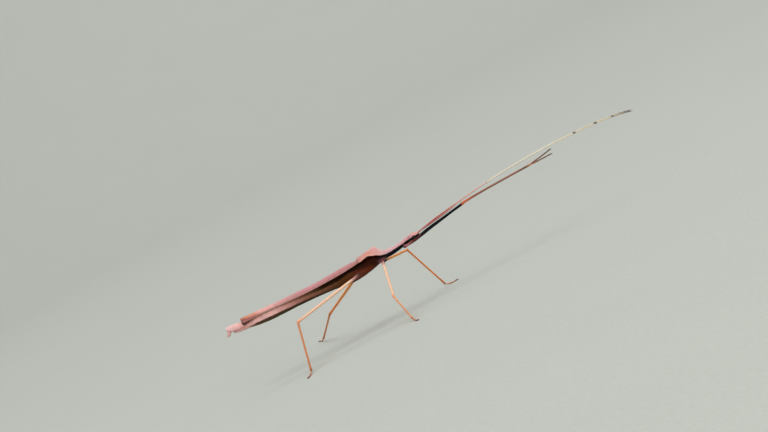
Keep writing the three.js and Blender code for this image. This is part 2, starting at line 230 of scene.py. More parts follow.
# ------------------------------------------------------------------ bench work
def object_mode() -> None:
    """Leaves edit mode, if a piece is still in it."""
    if bpy.context.object and bpy.context.object.mode != "OBJECT":
        bpy.ops.object.mode_set(mode="OBJECT")


def put_down() -> None:
    """Selects nothing, so that the next operator acts only on what is added or picked."""
    object_mode()
    bpy.ops.object.select_all(action="DESELECT")


def pick(piece: Object) -> None:
    """Selects one piece alone and makes it the active one.

    Args:
        piece: The piece to select.
    """
    put_down()
    piece.select_set(True)
    bpy.context.view_layer.objects.active = piece


def refine(piece: Object, kind: str, **settings: object) -> None:
    """Adds one modifier to a piece and applies it.

    Args:
        piece: The piece to work on.
        kind: The modifier's type.
        settings: The modifier's own settings.
    """
    pick(piece)
    bpy.ops.object.modifier_add(type=kind)
    modifier = piece.modifiers[-1]
    for key, value in settings.items():
        setattr(modifier, key, value)
    bpy.ops.object.modifier_apply(modifier=modifier.name)


def round_off(piece: Object, levels: int = 1) -> None:
    """Subdivides a piece into a smooth surface and shades it smooth.

    Args:
        piece: The piece to work on.
        levels: How often its faces are split.
    """
    refine(piece, "SUBSURF", levels=levels, render_levels=levels)
    pick(piece)
    bpy.ops.object.shade_smooth()


def faces_in(piece: Object) -> bool:
    """Tells whether a closed mesh, or an open sheet above the floor, is inside out.

    Args:
        piece: The piece to look at.

    Returns:
        True where its faces point inwards on the whole.
    """
    mesh = piece.data
    mesh.calc_loop_triangles()
    corners = ([mesh.vertices[index].co for index in face.vertices] for face in mesh.loop_triangles)
    return sum(a.dot(b.cross(c)) for a, b, c in corners) < 0


def make_sound(piece: Object, fill: bool = False) -> None:
    """Welds a mesh, closes it where asked and turns its faces outwards.

    Args:
        piece: The piece to work on.
        fill: Whether open ends are capped.
    """
    pick(piece)
    bpy.ops.object.mode_set(mode="EDIT")
    bpy.ops.mesh.select_all(action="SELECT")
    bpy.ops.mesh.remove_doubles(threshold=WELD)
    if fill:
        bpy.ops.mesh.fill_holes(sides=0)
        bpy.ops.mesh.select_all(action="SELECT")
    bpy.ops.mesh.normals_make_consistent(inside=False)
    object_mode()
    if faces_in(piece):
        piece.data.flip_normals()


def sculpt(piece: Object, move: Callable[[Vector], Vector]) -> None:
    """Moves every vertex of a piece by a rule."""
    for vertex in piece.data.vertices:
        vertex.co = move(vertex.co)


def store(piece: Object, name: str, values: list[float]) -> None:
    """Writes a list of values to the vertices of a piece, as an attribute that a finish reads."""
    layer = piece.data.attributes.new(name, "FLOAT", "POINT")
    layer.data.foreach_set("value", values)


def tag(piece: Object, name: str, measure: Callable[[Vector], float]) -> None:
    """Stores at every vertex what a rule gives for its place, kept between 0 and 1."""
    store(piece, name, [min(max(measure(vertex.co), 0.0), 1.0) for vertex in piece.data.vertices])


def join(name: str, pieces: list[Object]) -> Object:
    """Joins pieces into the first one.

    Args:
        name: The name of the whole.
        pieces: The pieces to join.

    Returns:
        The whole.
    """
    pick(pieces[0])
    for piece in pieces[1:]:
        piece.select_set(True)
    bpy.ops.object.join()
    pieces[0].name = name
    return pieces[0]


@dataclass(frozen=True)
class Ring:
    """One section of a swept piece: its middle and its size across and in height."""

    x: float
    y: float
    z: float
    wide: float
    tall: float

    @property
    def centre(self) -> Vector:
        """The middle of the section."""
        return Vector((self.x, self.y, self.z))


def sweep(name: str, profile: list[tuple[float, float]], rings: list[Ring], ring_closed: bool) -> Object:
    """Draws a profile in the first section and extrudes it from section to section.

    Args:
        name: The piece's name.
        profile: The section's outline, across and up, for a section of unit size.
        rings: The sections, in order.
        ring_closed: Whether the outline is a closed loop, as opposed to an open arc.

    Returns:
        The swept piece, its ends still open.
    """
    put_down()
    bpy.ops.mesh.primitive_circle_add(vertices=len(profile))
    piece = bpy.context.object
    piece.name = name
    first = rings[0]
    for vertex, (across, up) in zip(piece.data.vertices, profile):
        vertex.co = first.centre + Vector((0.0, across * first.wide, up * first.tall))
    bpy.ops.object.mode_set(mode="EDIT")
    if not ring_closed:
        bpy.ops.mesh.select_all(action="DESELECT")
        object_mode()
        piece.data.edges[-1].select = True
        bpy.ops.object.mode_set(mode="EDIT", toggle=False)
        bpy.context.tool_settings.mesh_select_mode = (False, True, False)
        bpy.ops.mesh.delete(type="EDGE")
        bpy.ops.mesh.select_all(action="SELECT")
    for here, there in zip(rings, rings[1:]):
        bpy.ops.mesh.extrude_region_move(TRANSFORM_OT_translate={"value": there.centre - here.centre})
        change = (1.0, there.wide / here.wide, there.tall / here.tall)
        bpy.ops.transform.resize(value=change, center_override=there.centre)
    object_mode()
    return piece


def rod(name: str, route: Route, girths: Iterable[tuple[float, float]], facets: int = 12) -> Object:
    """Draws a round rod along a route, as a bevelled curve turned to a closed mesh.

    Args:
        name: The piece's name.
        route: The line that it follows.
        girths: Shares of the route's length, each with the rod's radius there.
        facets: How many sides it has, an even number.

    Returns:
        The rod, with its ends capped.
    """
    put_down()
    bpy.ops.curve.primitive_bezier_curve_add()
    piece = bpy.context.object
    curve = piece.data
    curve.splines.clear()
    spline = curve.splines.new("POLY")
    spline.points.add(len(girths) - 1)
    for point, (share, girth) in zip(spline.points, girths):
        point.co = (*route.at(share), 1.0)
        point.radius = girth
    curve.dimensions = "3D"
    curve.twist_mode = "Z_UP"
    curve.bevel_depth = 1.0
    curve.bevel_resolution = (facets - 4) // 2
    curve.use_fill_caps = True
    bpy.ops.object.convert(target="MESH")
    piece = bpy.context.object
    piece.name = name
    make_sound(piece)
    return piece


def ball(name: str, centre: Vector, radii: Place, facets: int = 16) -> Object:
    """Adds an ellipsoid with its long axes along x, y and z.

    Args:
        name: The piece's name.
        centre: Its middle.
        radii: Half its length, breadth and height.
        facets: How many meridians it has.

    Returns:
        The ellipsoid.
    """
    put_down()
    bpy.ops.mesh.primitive_uv_sphere_add(segments=facets, ring_count=facets // 2, location=centre)
    piece = bpy.context.object
    piece.name = name
    piece.scale = radii
    bpy.ops.object.transform_apply(location=True, rotation=True, scale=True)
    bpy.ops.object.shade_smooth()
    return piece


def nearest_on(route: Route, place: Vector, steps: int = 60) -> tuple[float, Vector]:
    """The share of a route's length that lies nearest to a place, and the route's point there."""
    marks = ((i / steps, route.at(i / steps)) for i in range(steps + 1))
    return min(marks, key=lambda mark: (mark[1] - place).length_squared)


# ------------------------------------------------------------------ finishes
def linear(code: str) -> tuple[float, float, float, float]:
    """Turns an sRGB colour into the linear one that a shader takes.

    Args:
        code: The colour as a hash and six hex digits.

    Returns:
        Its red, green, blue and full opacity.
    """
    parts = (int(code[i : i + 2], 16) / 255 for i in (1, 3, 5))
    light = [p / 12.92 if p <= 0.04045 else ((p + 0.055) / 1.055) ** 2.4 for p in parts]
    return (*light, 1.0)


class Canvas:
    """The node tree of one material, with one way to add to it."""

    def __init__(self, name: str) -> None:
        """Starts an empty material.

        Args:
            name: The material's name.
        """
        self.material = bpy.data.materials.new(name)
        self.material.use_nodes = True
        self.tree = self.material.node_tree
        self.tree.nodes.clear()

    def add(self, kind: str, inputs: dict | None = None, **settings: object) -> Node:
        """Adds a node, sets it up and links what feeds it.

        Args:
            kind: The node's type, without the words that all shader nodes start with.
            inputs: A value, or the socket to link, for each input by name or number.
            settings: The node's own settings; `stops` fills a ramp with places and colours.

        Returns:
            The node.
        """
        made = self.tree.nodes.new("ShaderNode" + kind)
        for key, value in settings.items():
            if key == "stops":
                self.fill_ramp(made.color_ramp, value)
            else:
                setattr(made, key, value)
        for key, value in (inputs or {}).items():
            if isinstance(value, NodeSocket):
                self.tree.links.new(value, made.inputs[key])
            else:
                made.inputs[key].default_value = value
        return made

    @staticmethod
    def fill_ramp(ramp: bpy.types.ColorRamp, stops: Iterable[tuple[float, object]]) -> None:
        """Puts stops on a ramp.

        Args:
            ramp: The ramp to fill.
            stops: Places from 0 to 1, each with a hex colour or a shade of grey.
        """
        ordered = sorted(stops, key=lambda stop: stop[0])
        while len(ramp.elements) < len(ordered):
            ramp.elements.new(1.0)
        for element, (place, shade) in zip(ramp.elements, ordered):
            element.position = min(max(place, 0.0), 1.0)
            element.color = linear(shade) if isinstance(shade, str) else (shade, shade, shade, 1.0)


@dataclass(frozen=True)
class Layers:
    """What a finish paints: its colour, its relief from 0 to 1 and its dullness from 0 to 1."""

    colour: NodeSocket
    height: NodeSocket
    dull: NodeSocket


@dataclass(frozen=True)
class Finish:
    """What all finishes share: a pattern, a grain of real size and the shader under them."""

    name: str
    glossiest: float = 0.32
    dullest: float = 0.55
    grain: float = 0.09
    relief: float = 0.012
    ior: float = 1.56
    mirror: float = 0.3
    coat: float = 0.0
    blotch: float = 1.1
    shading: float = 0.22

    def paint(self, canvas: Canvas) -> NodeSocket:
        """Gives the colour before blotches and grain; each finish has its own."""
        raise NotImplementedError

    def extra_relief(self, canvas: Canvas, grain: NodeSocket) -> NodeSocket:
        """Gives the relief from the grain; a finish with ribs or veins adds to it."""
        return grain

    def layers(self, canvas: Canvas) -> Layers:
        """Lays blotches and grain over the finish's own colour.

        Args:
            canvas: The material to paint on.

        Returns:
            The sockets that feed the shader.
        """
        place = canvas.add("TexCoord").outputs["Object"]
        blotches = canvas.add("TexNoise", {
            "Vector": place, "Scale": 1 / (self.blotch * MM), "Detail": 3.0, "Roughness": 0.6,
        }).outputs["Fac"]
        grain = canvas.add("TexNoise", {
            "Vector": place, "Scale": 1 / (self.grain * MM), "Detail": 4.0, "Roughness": 0.65,
        }).outputs["Fac"]
        shade = canvas.add("MapRange", {
            "Value": blotches, "From Min": 0.3, "From Max": 0.7, "To Min": 1 - self.shading, "To Max": 1.0,
        }).outputs["Result"]
        speck = canvas.add("MapRange", {
            "Value": grain, "From Min": 0.35, "From Max": 0.65,
            "To Min": 1 - self.shading / 2, "To Max": 1.06,
        }).outputs["Result"]
        dimming = canvas.add("Math", {0: shade, 1: speck}, operation="MULTIPLY").outputs[0]
        colour = canvas.add("VectorMath", {0: self.paint(canvas), "Scale": dimming}, operation="SCALE")
        return Layers(colour.outputs["Vector"], self.extra_relief(canvas, grain), blotches)

    def make(self) -> Material:
        """Builds the material.

        Returns:
            The finished material.
        """
        canvas = Canvas(self.name)
        layers = self.layers(canvas)
        rough = canvas.add("MapRange", {
            "Value": layers.dull, "From Min": 0.3, "From Max": 0.7,
            "To Min": self.glossiest, "To Max": self.dullest,
        }).outputs["Result"]
        bump = canvas.add("Bump", {"Strength": 1.0, "Distance": self.relief * MM, "Height": layers.height})
        shader = canvas.add("BsdfPrincipled", {
            "Base Color": layers.colour, "Roughness": rough, "IOR": self.ior,
            "Specular IOR Level": self.mirror, "Coat Weight": self.coat, "Coat Roughness": 0.2,
            "Normal": bump.outputs["Normal"],
        })
        canvas.add("OutputMaterial", {"Surface": shader.outputs["BSDF"]})
        return canvas.material


def edge_mask(canvas: Canvas, value: NodeSocket, edge: NodeSocket | float, soft: float) -> NodeSocket:
    """Shows where a value lies past an edge.

    Args:
        canvas: The material to paint on.
        value: What is compared.
        edge: Where the change lies.
        soft: Half the width of the change.

    Returns:
        Nought before the edge and one past it.
    """
    past = canvas.add("Math", {0: value, 1: edge}, operation="SUBTRACT").outputs[0]
    return canvas.add("MapRange", {
        "Value": past, "From Min": -soft, "From Max": soft,
    }, interpolation_type="SMOOTHSTEP").outputs["Result"]


# The sockets of a colour Mix node, whose other kinds come before them.
UNDER, OVER, RESULT = 6, 7, 2


def lay(canvas: Canvas, ground: NodeSocket, *coats: tuple[NodeSocket, object]) -> NodeSocket:
    """Lays coats of colour over a ground, one after the other.

    Args:
        canvas: The material to paint on.
        ground: The lowest colour.
        coats: How much of each coat shows, with its colour as a socket or a linear value.

    Returns:
        The colour that shows.
    """
    for share, coat in coats:
        mixed = canvas.add("Mix", {0: share, UNDER: ground, OVER: coat}, data_type="RGBA")
        ground = mixed.outputs[RESULT]
    return ground


BODY_TRACK = Track(-57.0, 15.0)
HEIGHT_TRACK = Track(16.0, 24.0)
# Back colour; along the abdomen it shows in the trough under the wings' edge. There the dark brown from
# -12.4 to -22 is partly the cuticle's own and partly painted shadow of the wing's edge, the dark stops at
# -48.4 and -50.3 are painted shadow of the wing's edge, and the pale stops from -34 to -46 are painted
# lighter to lift the shade that the wing casts.
SKIN_BACK_WITH_LIGHT_AND_SHADE = (
    (14.0, "#D99A90"), (12.6, "#DFA59C"), (11.3, "#E2A8A6"), (9.6, "#CF9296"), (8.0, "#D9A3A8"),
    (5.0, "#D8A8B0"), (1.0, "#DCACB2"), (0.0, "#C08888"), (-0.9, "#2A1410"), (-3.2, "#361004"),
    (-6.0, "#300D03"), (-9.0, "#220A02"), (-12.4, "#200C04"),
    (-22.0, "#2A1604"), (-28.0, "#7A553E"), (-34.0, "#C38A7A"), (-38.0, "#F4C4B6"), (-43.0, "#FACCBE"),
    (-46.0, "#E0A898"), (-48.4, "#8A6460"), (-50.3, "#563C40"), (-51.4, "#E8B0B2"), (-57.0, "#F8CACC"),
)
# Flank colour. Along the abdomen, from -34 to the tail, the rose is the cuticle's own, painted paler than it
# is to lift the dim light on the abdomen's side.
SKIN_FLANK_AND_LIGHT = (
    (14.0, "#2C1A1E"), (12.9, "#120E12"), (9.0, "#0A0B10"), (0.2, "#0C0C12"), (-1.3, "#1E1014"),
    (-4.0, "#341002"), (-9.0, "#502010"), (-12.4, "#5C3018"), (-16.0, "#5A3618"), (-22.0, "#7A523C"),
    (-28.0, "#9A6858"), (-34.0, "#D0948E"), (-40.0, "#FFC6C2"), (-46.0, "#FFC8C4"), (-50.0, "#F0B2A8"),
    (-53.5, "#F6C6C6"), (-57.0, "#F8C8CA"),
)
# Belly colour. Along the abdomen, from -13.5 to -46, its dark brown is painted shade under the body; from
# -48.6 to the tail its stops are painted lighter to lift the lamps' shade under the tail.
SKIN_BELLY_AND_SHADE = (
    (14.0, "#5E2C26"), (11.5, "#5A2A22"), (9.3, "#32191C"), (5.0, "#100F14"), (0.0, "#1C1014"),
    (-3.0, "#3E1B08"), (-6.0, "#652A15"), (-10.0, "#713C2D"), (-13.5, "#543018"), (-22.0, "#452E1A"),
    (-30.0, "#42301C"), (-40.0, "#50402C"), (-46.0, "#5C4433"), (-48.6, "#A87A6E"), (-50.5, "#EAB8AE"),
    (-57.0, "#F4C0BA"),
)
# Upper edge of the flank colour, and the lower one, as heights in millimetres. Along the abdomen the lower
# edge is where the belly's painted shade begins, and the upper one where the back colour, with its painted
# shadow under the wings' edge, begins.
SKIN_UPPER = (
    (14.0, 21.3), (12.8, 21.12), (11.45, 20.92), (10.3, 21.0), (9.5, 20.9), (8.7, 20.86), (7.3, 20.54),
    (5.1, 20.34), (3.0, 20.14), (0.9, 20.14), (-0.4, 20.4), (-1.6, 20.5), (-3.2, 20.1), (-7.0, 19.85),
    (-12.4, 20.2), (-16.0, 19.55), (-22.0, 19.5), (-28.0, 19.95), (-34.0, 20.25), (-40.0, 20.72),
    (-46.0, 20.85), (-50.2, 20.6), (-51.3, 23.5),
)
SKIN_LOWER = (
    (14.0, 20.5), (12.0, 20.35), (10.7, 20.2), (9.4, 20.14), (8.2, 20.05), (6.8, 18.4), (0.0, 18.0),
    (-3.0, 18.5), (-5.0, 19.1), (-10.0, 19.2), (-13.5, 18.0), (-17.0, 18.0), (-22.0, 18.35), (-28.0, 18.9),
    (-34.0, 19.2), (-40.0, 19.5), (-46.0, 19.75), (-50.0, 19.6), (-51.5, 18.0),
)


def height_stops(rows: Iterable[tuple[float, float]]) -> list[tuple[float, float]]:
    """Turns places and heights in millimetres into the shares that a ramp and `height` use."""
    return [(BODY_TRACK.share(x), HEIGHT_TRACK.share(z)) for x, z in rows]


def colour_stops(rows: Iterable[tuple[float, str]], track: Track = BODY_TRACK) -> list[tuple[float, str]]:
    """Turns places along a track into the shares that a ramp uses."""
    return [(track.share(x), shade) for x, shade in rows]


@dataclass(frozen=True)
class TrunkCuticle(Finish):
    """Waxy chitin, lilac-rose above, blue-black along the thorax and pale along the abdomen, with painted
    shade under the abdomen and under the wings' edge.
    """

    name: str = "waxy_trunk_cuticle"
    edge_soft: float = 0.018
    wobble: float = 0.018
    wave: float = 0.7
    hip_tint: str = "#A8686C"
    seam_tint: str = "#2A1612"
    seam_ink: float = 0.17

    def paint(self, canvas: Canvas) -> NodeSocket:
        """Lays the back, the flank and the belly over each other along wavy edges; along the abdomen these
        hold painted shade and painted light.

        Args:
            canvas: The material to paint on.

        Returns:
            The colour.
        """
        along, height, hip, seam = (
            canvas.add("Attribute", attribute_name=name).outputs["Fac"]
            for name in ("along", "height", "hip", "seam")
        )
        place = canvas.add("TexCoord").outputs["Object"]
        waves = canvas.add("TexNoise", {"Vector": place, "Scale": 1 / (self.wave * MM)}).outputs["Fac"]
        wobble = canvas.add("MapRange", {
            "Value": waves, "To Min": -self.wobble, "To Max": self.wobble,
        }).outputs["Result"]
        lift = canvas.add("Math", {0: height, 1: wobble}).outputs[0]
        back, flank, belly = (
            canvas.add("ValToRGB", {"Fac": along}, stops=colour_stops(rows)).outputs["Color"]
            for rows in (SKIN_BACK_WITH_LIGHT_AND_SHADE, SKIN_FLANK_AND_LIGHT, SKIN_BELLY_AND_SHADE)
        )
        upper, lower = (
            canvas.add("ValToRGB", {"Fac": along}, stops=height_stops(rows)).outputs["Color"]
            for rows in (SKIN_UPPER, SKIN_LOWER)
        )
        inked = canvas.add("Math", {0: seam, 1: self.seam_ink}, operation="MULTIPLY").outputs[0]
        return lay(
            canvas, belly,
            (edge_mask(canvas, lift, lower, self.edge_soft), flank),
            (edge_mask(canvas, lift, upper, self.edge_soft), back),
            (hip, linear(self.hip_tint)),
            (inked, linear(self.seam_tint)),
        )


@dataclass(frozen=True)
class LengthwiseCuticle(Finish):
    """Chitin whose colour changes along a limb, and between its outer and inner faces; on the standing legs
    the inner faces' deeper orange is painted shade.
    """

    outer: Shades = ()
    # colour of the faces turned towards the body; on the standing legs it is painted shade
    inner: Shades = ()
    turn_at: float = 0.5
    turn_soft: float = 0.3

    def paint(self, canvas: Canvas) -> NodeSocket:
        """Mixes the two faces' colours along the limb.

        Args:
            canvas: The material to paint on.

        Returns:
            The colour.
        """
        reach, inward = (
            canvas.add("Attribute", attribute_name=name).outputs["Fac"] for name in ("reach", "inner")
        )
        outer, inner = (
            canvas.add("ValToRGB", {"Fac": reach}, stops=rows).outputs["Color"]
            for rows in (self.outer, self.inner or self.outer)
        )
        return lay(canvas, outer, (edge_mask(canvas, inward, self.turn_at, self.turn_soft), inner))


@dataclass(frozen=True)
class WingMembrane(Finish):
    """Leathery folded wing: dusty rose between fine raised veins, with a paler outer edge."""

    field: Shades = ()
    margin: Shades = ()
    margin_edge: Marks = ((0.0, 0.86),)
    edge_soft: float = 0.035
    # how much painted shade lies along the fold line at the margin's edge, by place along the body
    fold: Marks = ((0.0, 0.0),)
    # half the width of that painted shade, as a share of the wing's width
    fold_half: float = 0.075
    # colour of the painted shade along the fold line
    fold_tint: str = "#4A2C30"
    vein_tint: str = "#A86A66"
    vein_ink: float = 0.4
    net_ink: float = 0.28
    net: float = 0.55
    net_rows: float = 13.0
    net_scatter: float = 0.75
    net_line: float = 0.12
    grain_share: float = 0.45

    def cells(self, canvas: Canvas) -> NodeSocket:
        """Draws the net of cross veins.

        Args:
            canvas: The material to paint on.

        Returns:
            Nought in a cell and one on a vein.
        """
        along, across = (
            canvas.add("Math", {
                0: canvas.add("Attribute", attribute_name=name).outputs["Fac"], 1: count,
            }, operation="MULTIPLY").outputs[0]
            for name, count in (("along", BODY_TRACK.length / self.net), ("across", self.net_rows))
        )
        place = canvas.add("CombineXYZ", {0: along, 1: across}).outputs[0]
        net = canvas.add("TexVoronoi", {
            "Vector": place, "Scale": 1.0, "Randomness": self.net_scatter,
        }, voronoi_dimensions="2D", feature="DISTANCE_TO_EDGE").outputs["Distance"]
        return canvas.add("MapRange", {
            "Value": net, "From Min": 0.0, "From Max": self.net_line, "To Min": 1.0, "To Max": 0.0,
        }).outputs["Result"]

    def paint(self, canvas: Canvas) -> NodeSocket:
        """Lays the margin, the fold's shade, the net and the veins over the field's colour.

        Args:
            canvas: The material to paint on.

        Returns:
            The colour.
        """
        along, across, vein = (
            canvas.add("Attribute", attribute_name=name).outputs["Fac"]
            for name in ("along", "across", "vein")
        )
        field, margin, edge, fold = (
            canvas.add("ValToRGB", {"Fac": along}, stops=colour_stops(rows)).outputs["Color"]
            for rows in (self.field, self.margin, self.margin_edge, self.fold)
        )
        away = canvas.add("Math", {0: across, 1: edge}, operation="SUBTRACT").outputs[0]
        near = canvas.add("Math", {0: away}, operation="ABSOLUTE").outputs[0]
        # Painted shade along the fold line, darkest on the margin's edge.
        fold_line_shade = canvas.add("MapRange", {
            "Value": near, "From Min": 0.0, "From Max": self.fold_half, "To Min": fold, "To Max": 0.0,
        }).outputs["Result"]
        netted, veined = (
            canvas.add("Math", {0: line, 1: ink}, operation="MULTIPLY").outputs[0]
            for line, ink in ((self.cells(canvas), self.net_ink), (vein, self.vein_ink))
        )
        lines = canvas.add("Math", {0: netted, 1: veined}, operation="MAXIMUM").outputs[0]
        return lay(
            canvas, field,
            (edge_mask(canvas, across, edge, self.edge_soft), margin),
            (fold_line_shade, linear(self.fold_tint)),
            (lines, linear(self.vein_tint)),
        )

    def extra_relief(self, canvas: Canvas, grain: NodeSocket) -> NodeSocket:
        """Raises the net of cross veins out of the grain."""
        low = canvas.add("Math", {0: grain, 1: self.grain_share}, operation="MULTIPLY").outputs[0]
        return canvas.add("Math", {0: low, 1: self.cells(canvas)}).outputs[0]


@dataclass(frozen=True)
class RingedFeeler(LengthwiseCuticle):
    """Many-jointed feeler: rose at its base, cream beyond, with short dark rings."""

    rings: Marks = ()
    ring_core: float = 0.004
    ring_edge: float = 0.008
    ring_tint: str = "#4A3026"
    joint_ink: float = 0.16

    def paint(self, canvas: Canvas) -> NodeSocket:
        """Lays the joints and the dark rings over the lengthwise colour.

        Args:
            canvas: The material to paint on.

        Returns:
            The colour.
        """
        reach, seam = (
            canvas.add("Attribute", attribute_name=name).outputs["Fac"] for name in ("reach", "seam")
        )
        rows = colour_stops(self.outer, FEELER_TRACK)
        ground = canvas.add("ValToRGB", {"Fac": reach}, stops=rows).outputs["Color"]
        shares = [canvas.add("Math", {0: seam, 1: self.joint_ink}, operation="MULTIPLY").outputs[0]]
        for place, strength in self.rings:
            middle = FEELER_TRACK.share(place)
            away = canvas.add("Math", {0: reach, 1: middle}, operation="SUBTRACT").outputs[0]
            near = canvas.add("Math", {0: away}, operation="ABSOLUTE").outputs[0]
            shares.append(canvas.add("MapRange", {
                "Value": near, "From Min": self.ring_core, "From Max": self.ring_edge,
                "To Min": strength, "To Max": 0.0,
            }).outputs["Result"])
        return lay(canvas, ground, *((share, linear(self.ring_tint)) for share in shares))


@dataclass(frozen=True)
class PlainCuticle(Finish):
    """Chitin of two close shades, in fine blotches."""

    light: str = "#D9A59E"
    deep: str = "#B98078"
    patch: float = 0.5
    deep_at: float = 0.4
    light_at: float = 0.6

    def paint(self, canvas: Canvas) -> NodeSocket:
        """Mottles the two shades.

        Args:
            canvas: The material to paint on.

        Returns:
            The colour.
        """
        place = canvas.add("TexCoord").outputs["Object"]
        patches = canvas.add("TexNoise", {"Vector": place, "Scale": 1 / (self.patch * MM)}).outputs["Fac"]
        stops = ((self.deep_at, self.deep), (self.light_at, self.light))
        return canvas.add("ValToRGB", {"Fac": patches}, stops=stops).outputs["Color"]


THIGH_OUTER = (
    (0.0, "#54302E"), (0.04, "#8C5654"), (0.07, "#BC8480"), (0.11, "#E6AEA2"), (0.15, "#FFD2B2"),
    (0.5, "#FFD0B0"), (0.9, "#FFC6A4"), (0.96, "#F6B08A"), (1.0, "#EAA27C"),
)
# Faces of the standing thighs that turn towards the body; the camera sees them on the far legs, and their
# deeper orange is painted shade of those legs.
THIGH_INNER_SHADE = (
    (0.0, "#3E2420"), (0.09, "#5E3428"), (0.14, "#B06C3C"), (0.2, "#FFA258"), (0.5, "#FFA04E"),
    (0.9, "#FA964A"), (1.0, "#DA8044"),
)
SHIN_OUTER = ((0.0, "#E8A682"), (0.1, "#E9A67C"), (0.5, "#E29A6E"), (0.92, "#D88E60"), (1.0, "#B86E48"))
# Faces of the standing shins that turn towards the body: their deeper orange is painted shade on the far
# legs.
SHIN_INNER_SHADE = ((0.0, "#E88C48"), (0.5, "#E8883E"), (0.92, "#D87C3A"), (1.0, "#A85C30"))
HIND_SHIN = ((0.0, "#D48C5E"), (0.1, "#D08658"), (0.5, "#CA7C4E"), (0.92, "#C07444"), (1.0, "#A05A34"))
FORE_THIGH = (
    (0.0, "#332630"), (0.02, "#6E484C"), (0.05, "#AE6E72"), (0.09, "#A0625E"), (0.16, "#5E2A20"),
    (0.24, "#4E2C2E"), (0.31, "#2A181A"), (0.35, "#07080C"), (0.93, "#07090E"), (0.955, "#A64E2A"),
    (0.975, "#D5784A"), (1.0, "#C8663C"),
)
FORE_SHIN = (
    (0.0, "#CE6C40"), (0.07, "#BC6038"), (0.15, "#935038"), (0.35, "#8C5A42"), (0.7, "#96604E"),
    (0.93, "#74503A"), (0.975, "#C08A62"), (1.0, "#D09C78"),
)
FOOT_OUTER = ((0.0, "#D08A5E"), (0.4, "#C07A50"), (0.8, "#A86440"), (1.0, "#8A4E32"))
FORE_FOOT = ((0.0, "#9A5640"), (0.4, "#7E5A44"), (1.0, "#7A5A46"))
FEELER_TRACK = Track(14.8, 91.1)
FEELER = (
    (14.8, "#B8686A"), (17.5, "#A84C4C"), (20.0, "#AC5250"), (23.0, "#B96E66"), (27.0, "#C98C80"),
    (33.0, "#D2A398"), (38.5, "#D8B2A8"), (41.5, "#DCD0BC"), (60.0, "#DCD6C0"), (83.0, "#D8CDB2"),
    (87.0, "#A88A70"), (89.3, "#4A3428"), (91.1, "#3A2820"),
)
FEELER_RINGS = ((39.8, 0.2), (71.6, 0.9), (78.9, 0.9), (84.7, 0.8))
WING_FIELD = (
    (15.0, "#42221A"), (-7.0, "#4A281E"), (-8.4, "#C08284"), (-16.0, "#CC8A8E"), (-28.0, "#D29298"),
    (-34.0, "#D89C9C"), (-40.0, "#F0B2AE"), (-43.6, "#F2B4AA"), (-45.4, "#E69C84"), (-48.0, "#DE8E6C"),
    (-50.4, "#BC6A52"),
)
WING_MARGIN = (
    (15.0, "#3A1C14"), (-7.0, "#46241A"), (-8.4, "#D49890"), (-20.0, "#CE9692"), (-36.0, "#DCA8A2"),
    (-43.0, "#D8A49C"), (-46.0, "#D0888A"), (-50.4, "#C07872"),
)
WING_EDGE = ((-42.0, 0.9), (-45.0, 0.84), (-47.5, 0.74), (-50.4, 0.64))
# Painted shade along the fold line where the folded wing turns at the margin's edge, growing towards the
# tip.
WING_FOLD_LINE_SHADE = ((-42.5, 0.0), (-45.5, 0.7), (-50.4, 0.95))
TEGMEN_FIELD = (
    (0.5, "#F0C8CE"), (-1.0, "#F2B6B8"), (-3.0, "#EAA8A0"), (-4.5, "#E89C8C"), (-6.0, "#D49A92"),
    (-8.4, "#D08E8E"),
)
TEGMEN_MARGIN = ((0.5, "#FFD0D0"), (-1.6, "#FFBEB6"), (-4.2, "#FFB8A8"), (-8.4, "#F2AA9E"))
TEGMEN_EDGE = ((0.5, 0.76),)


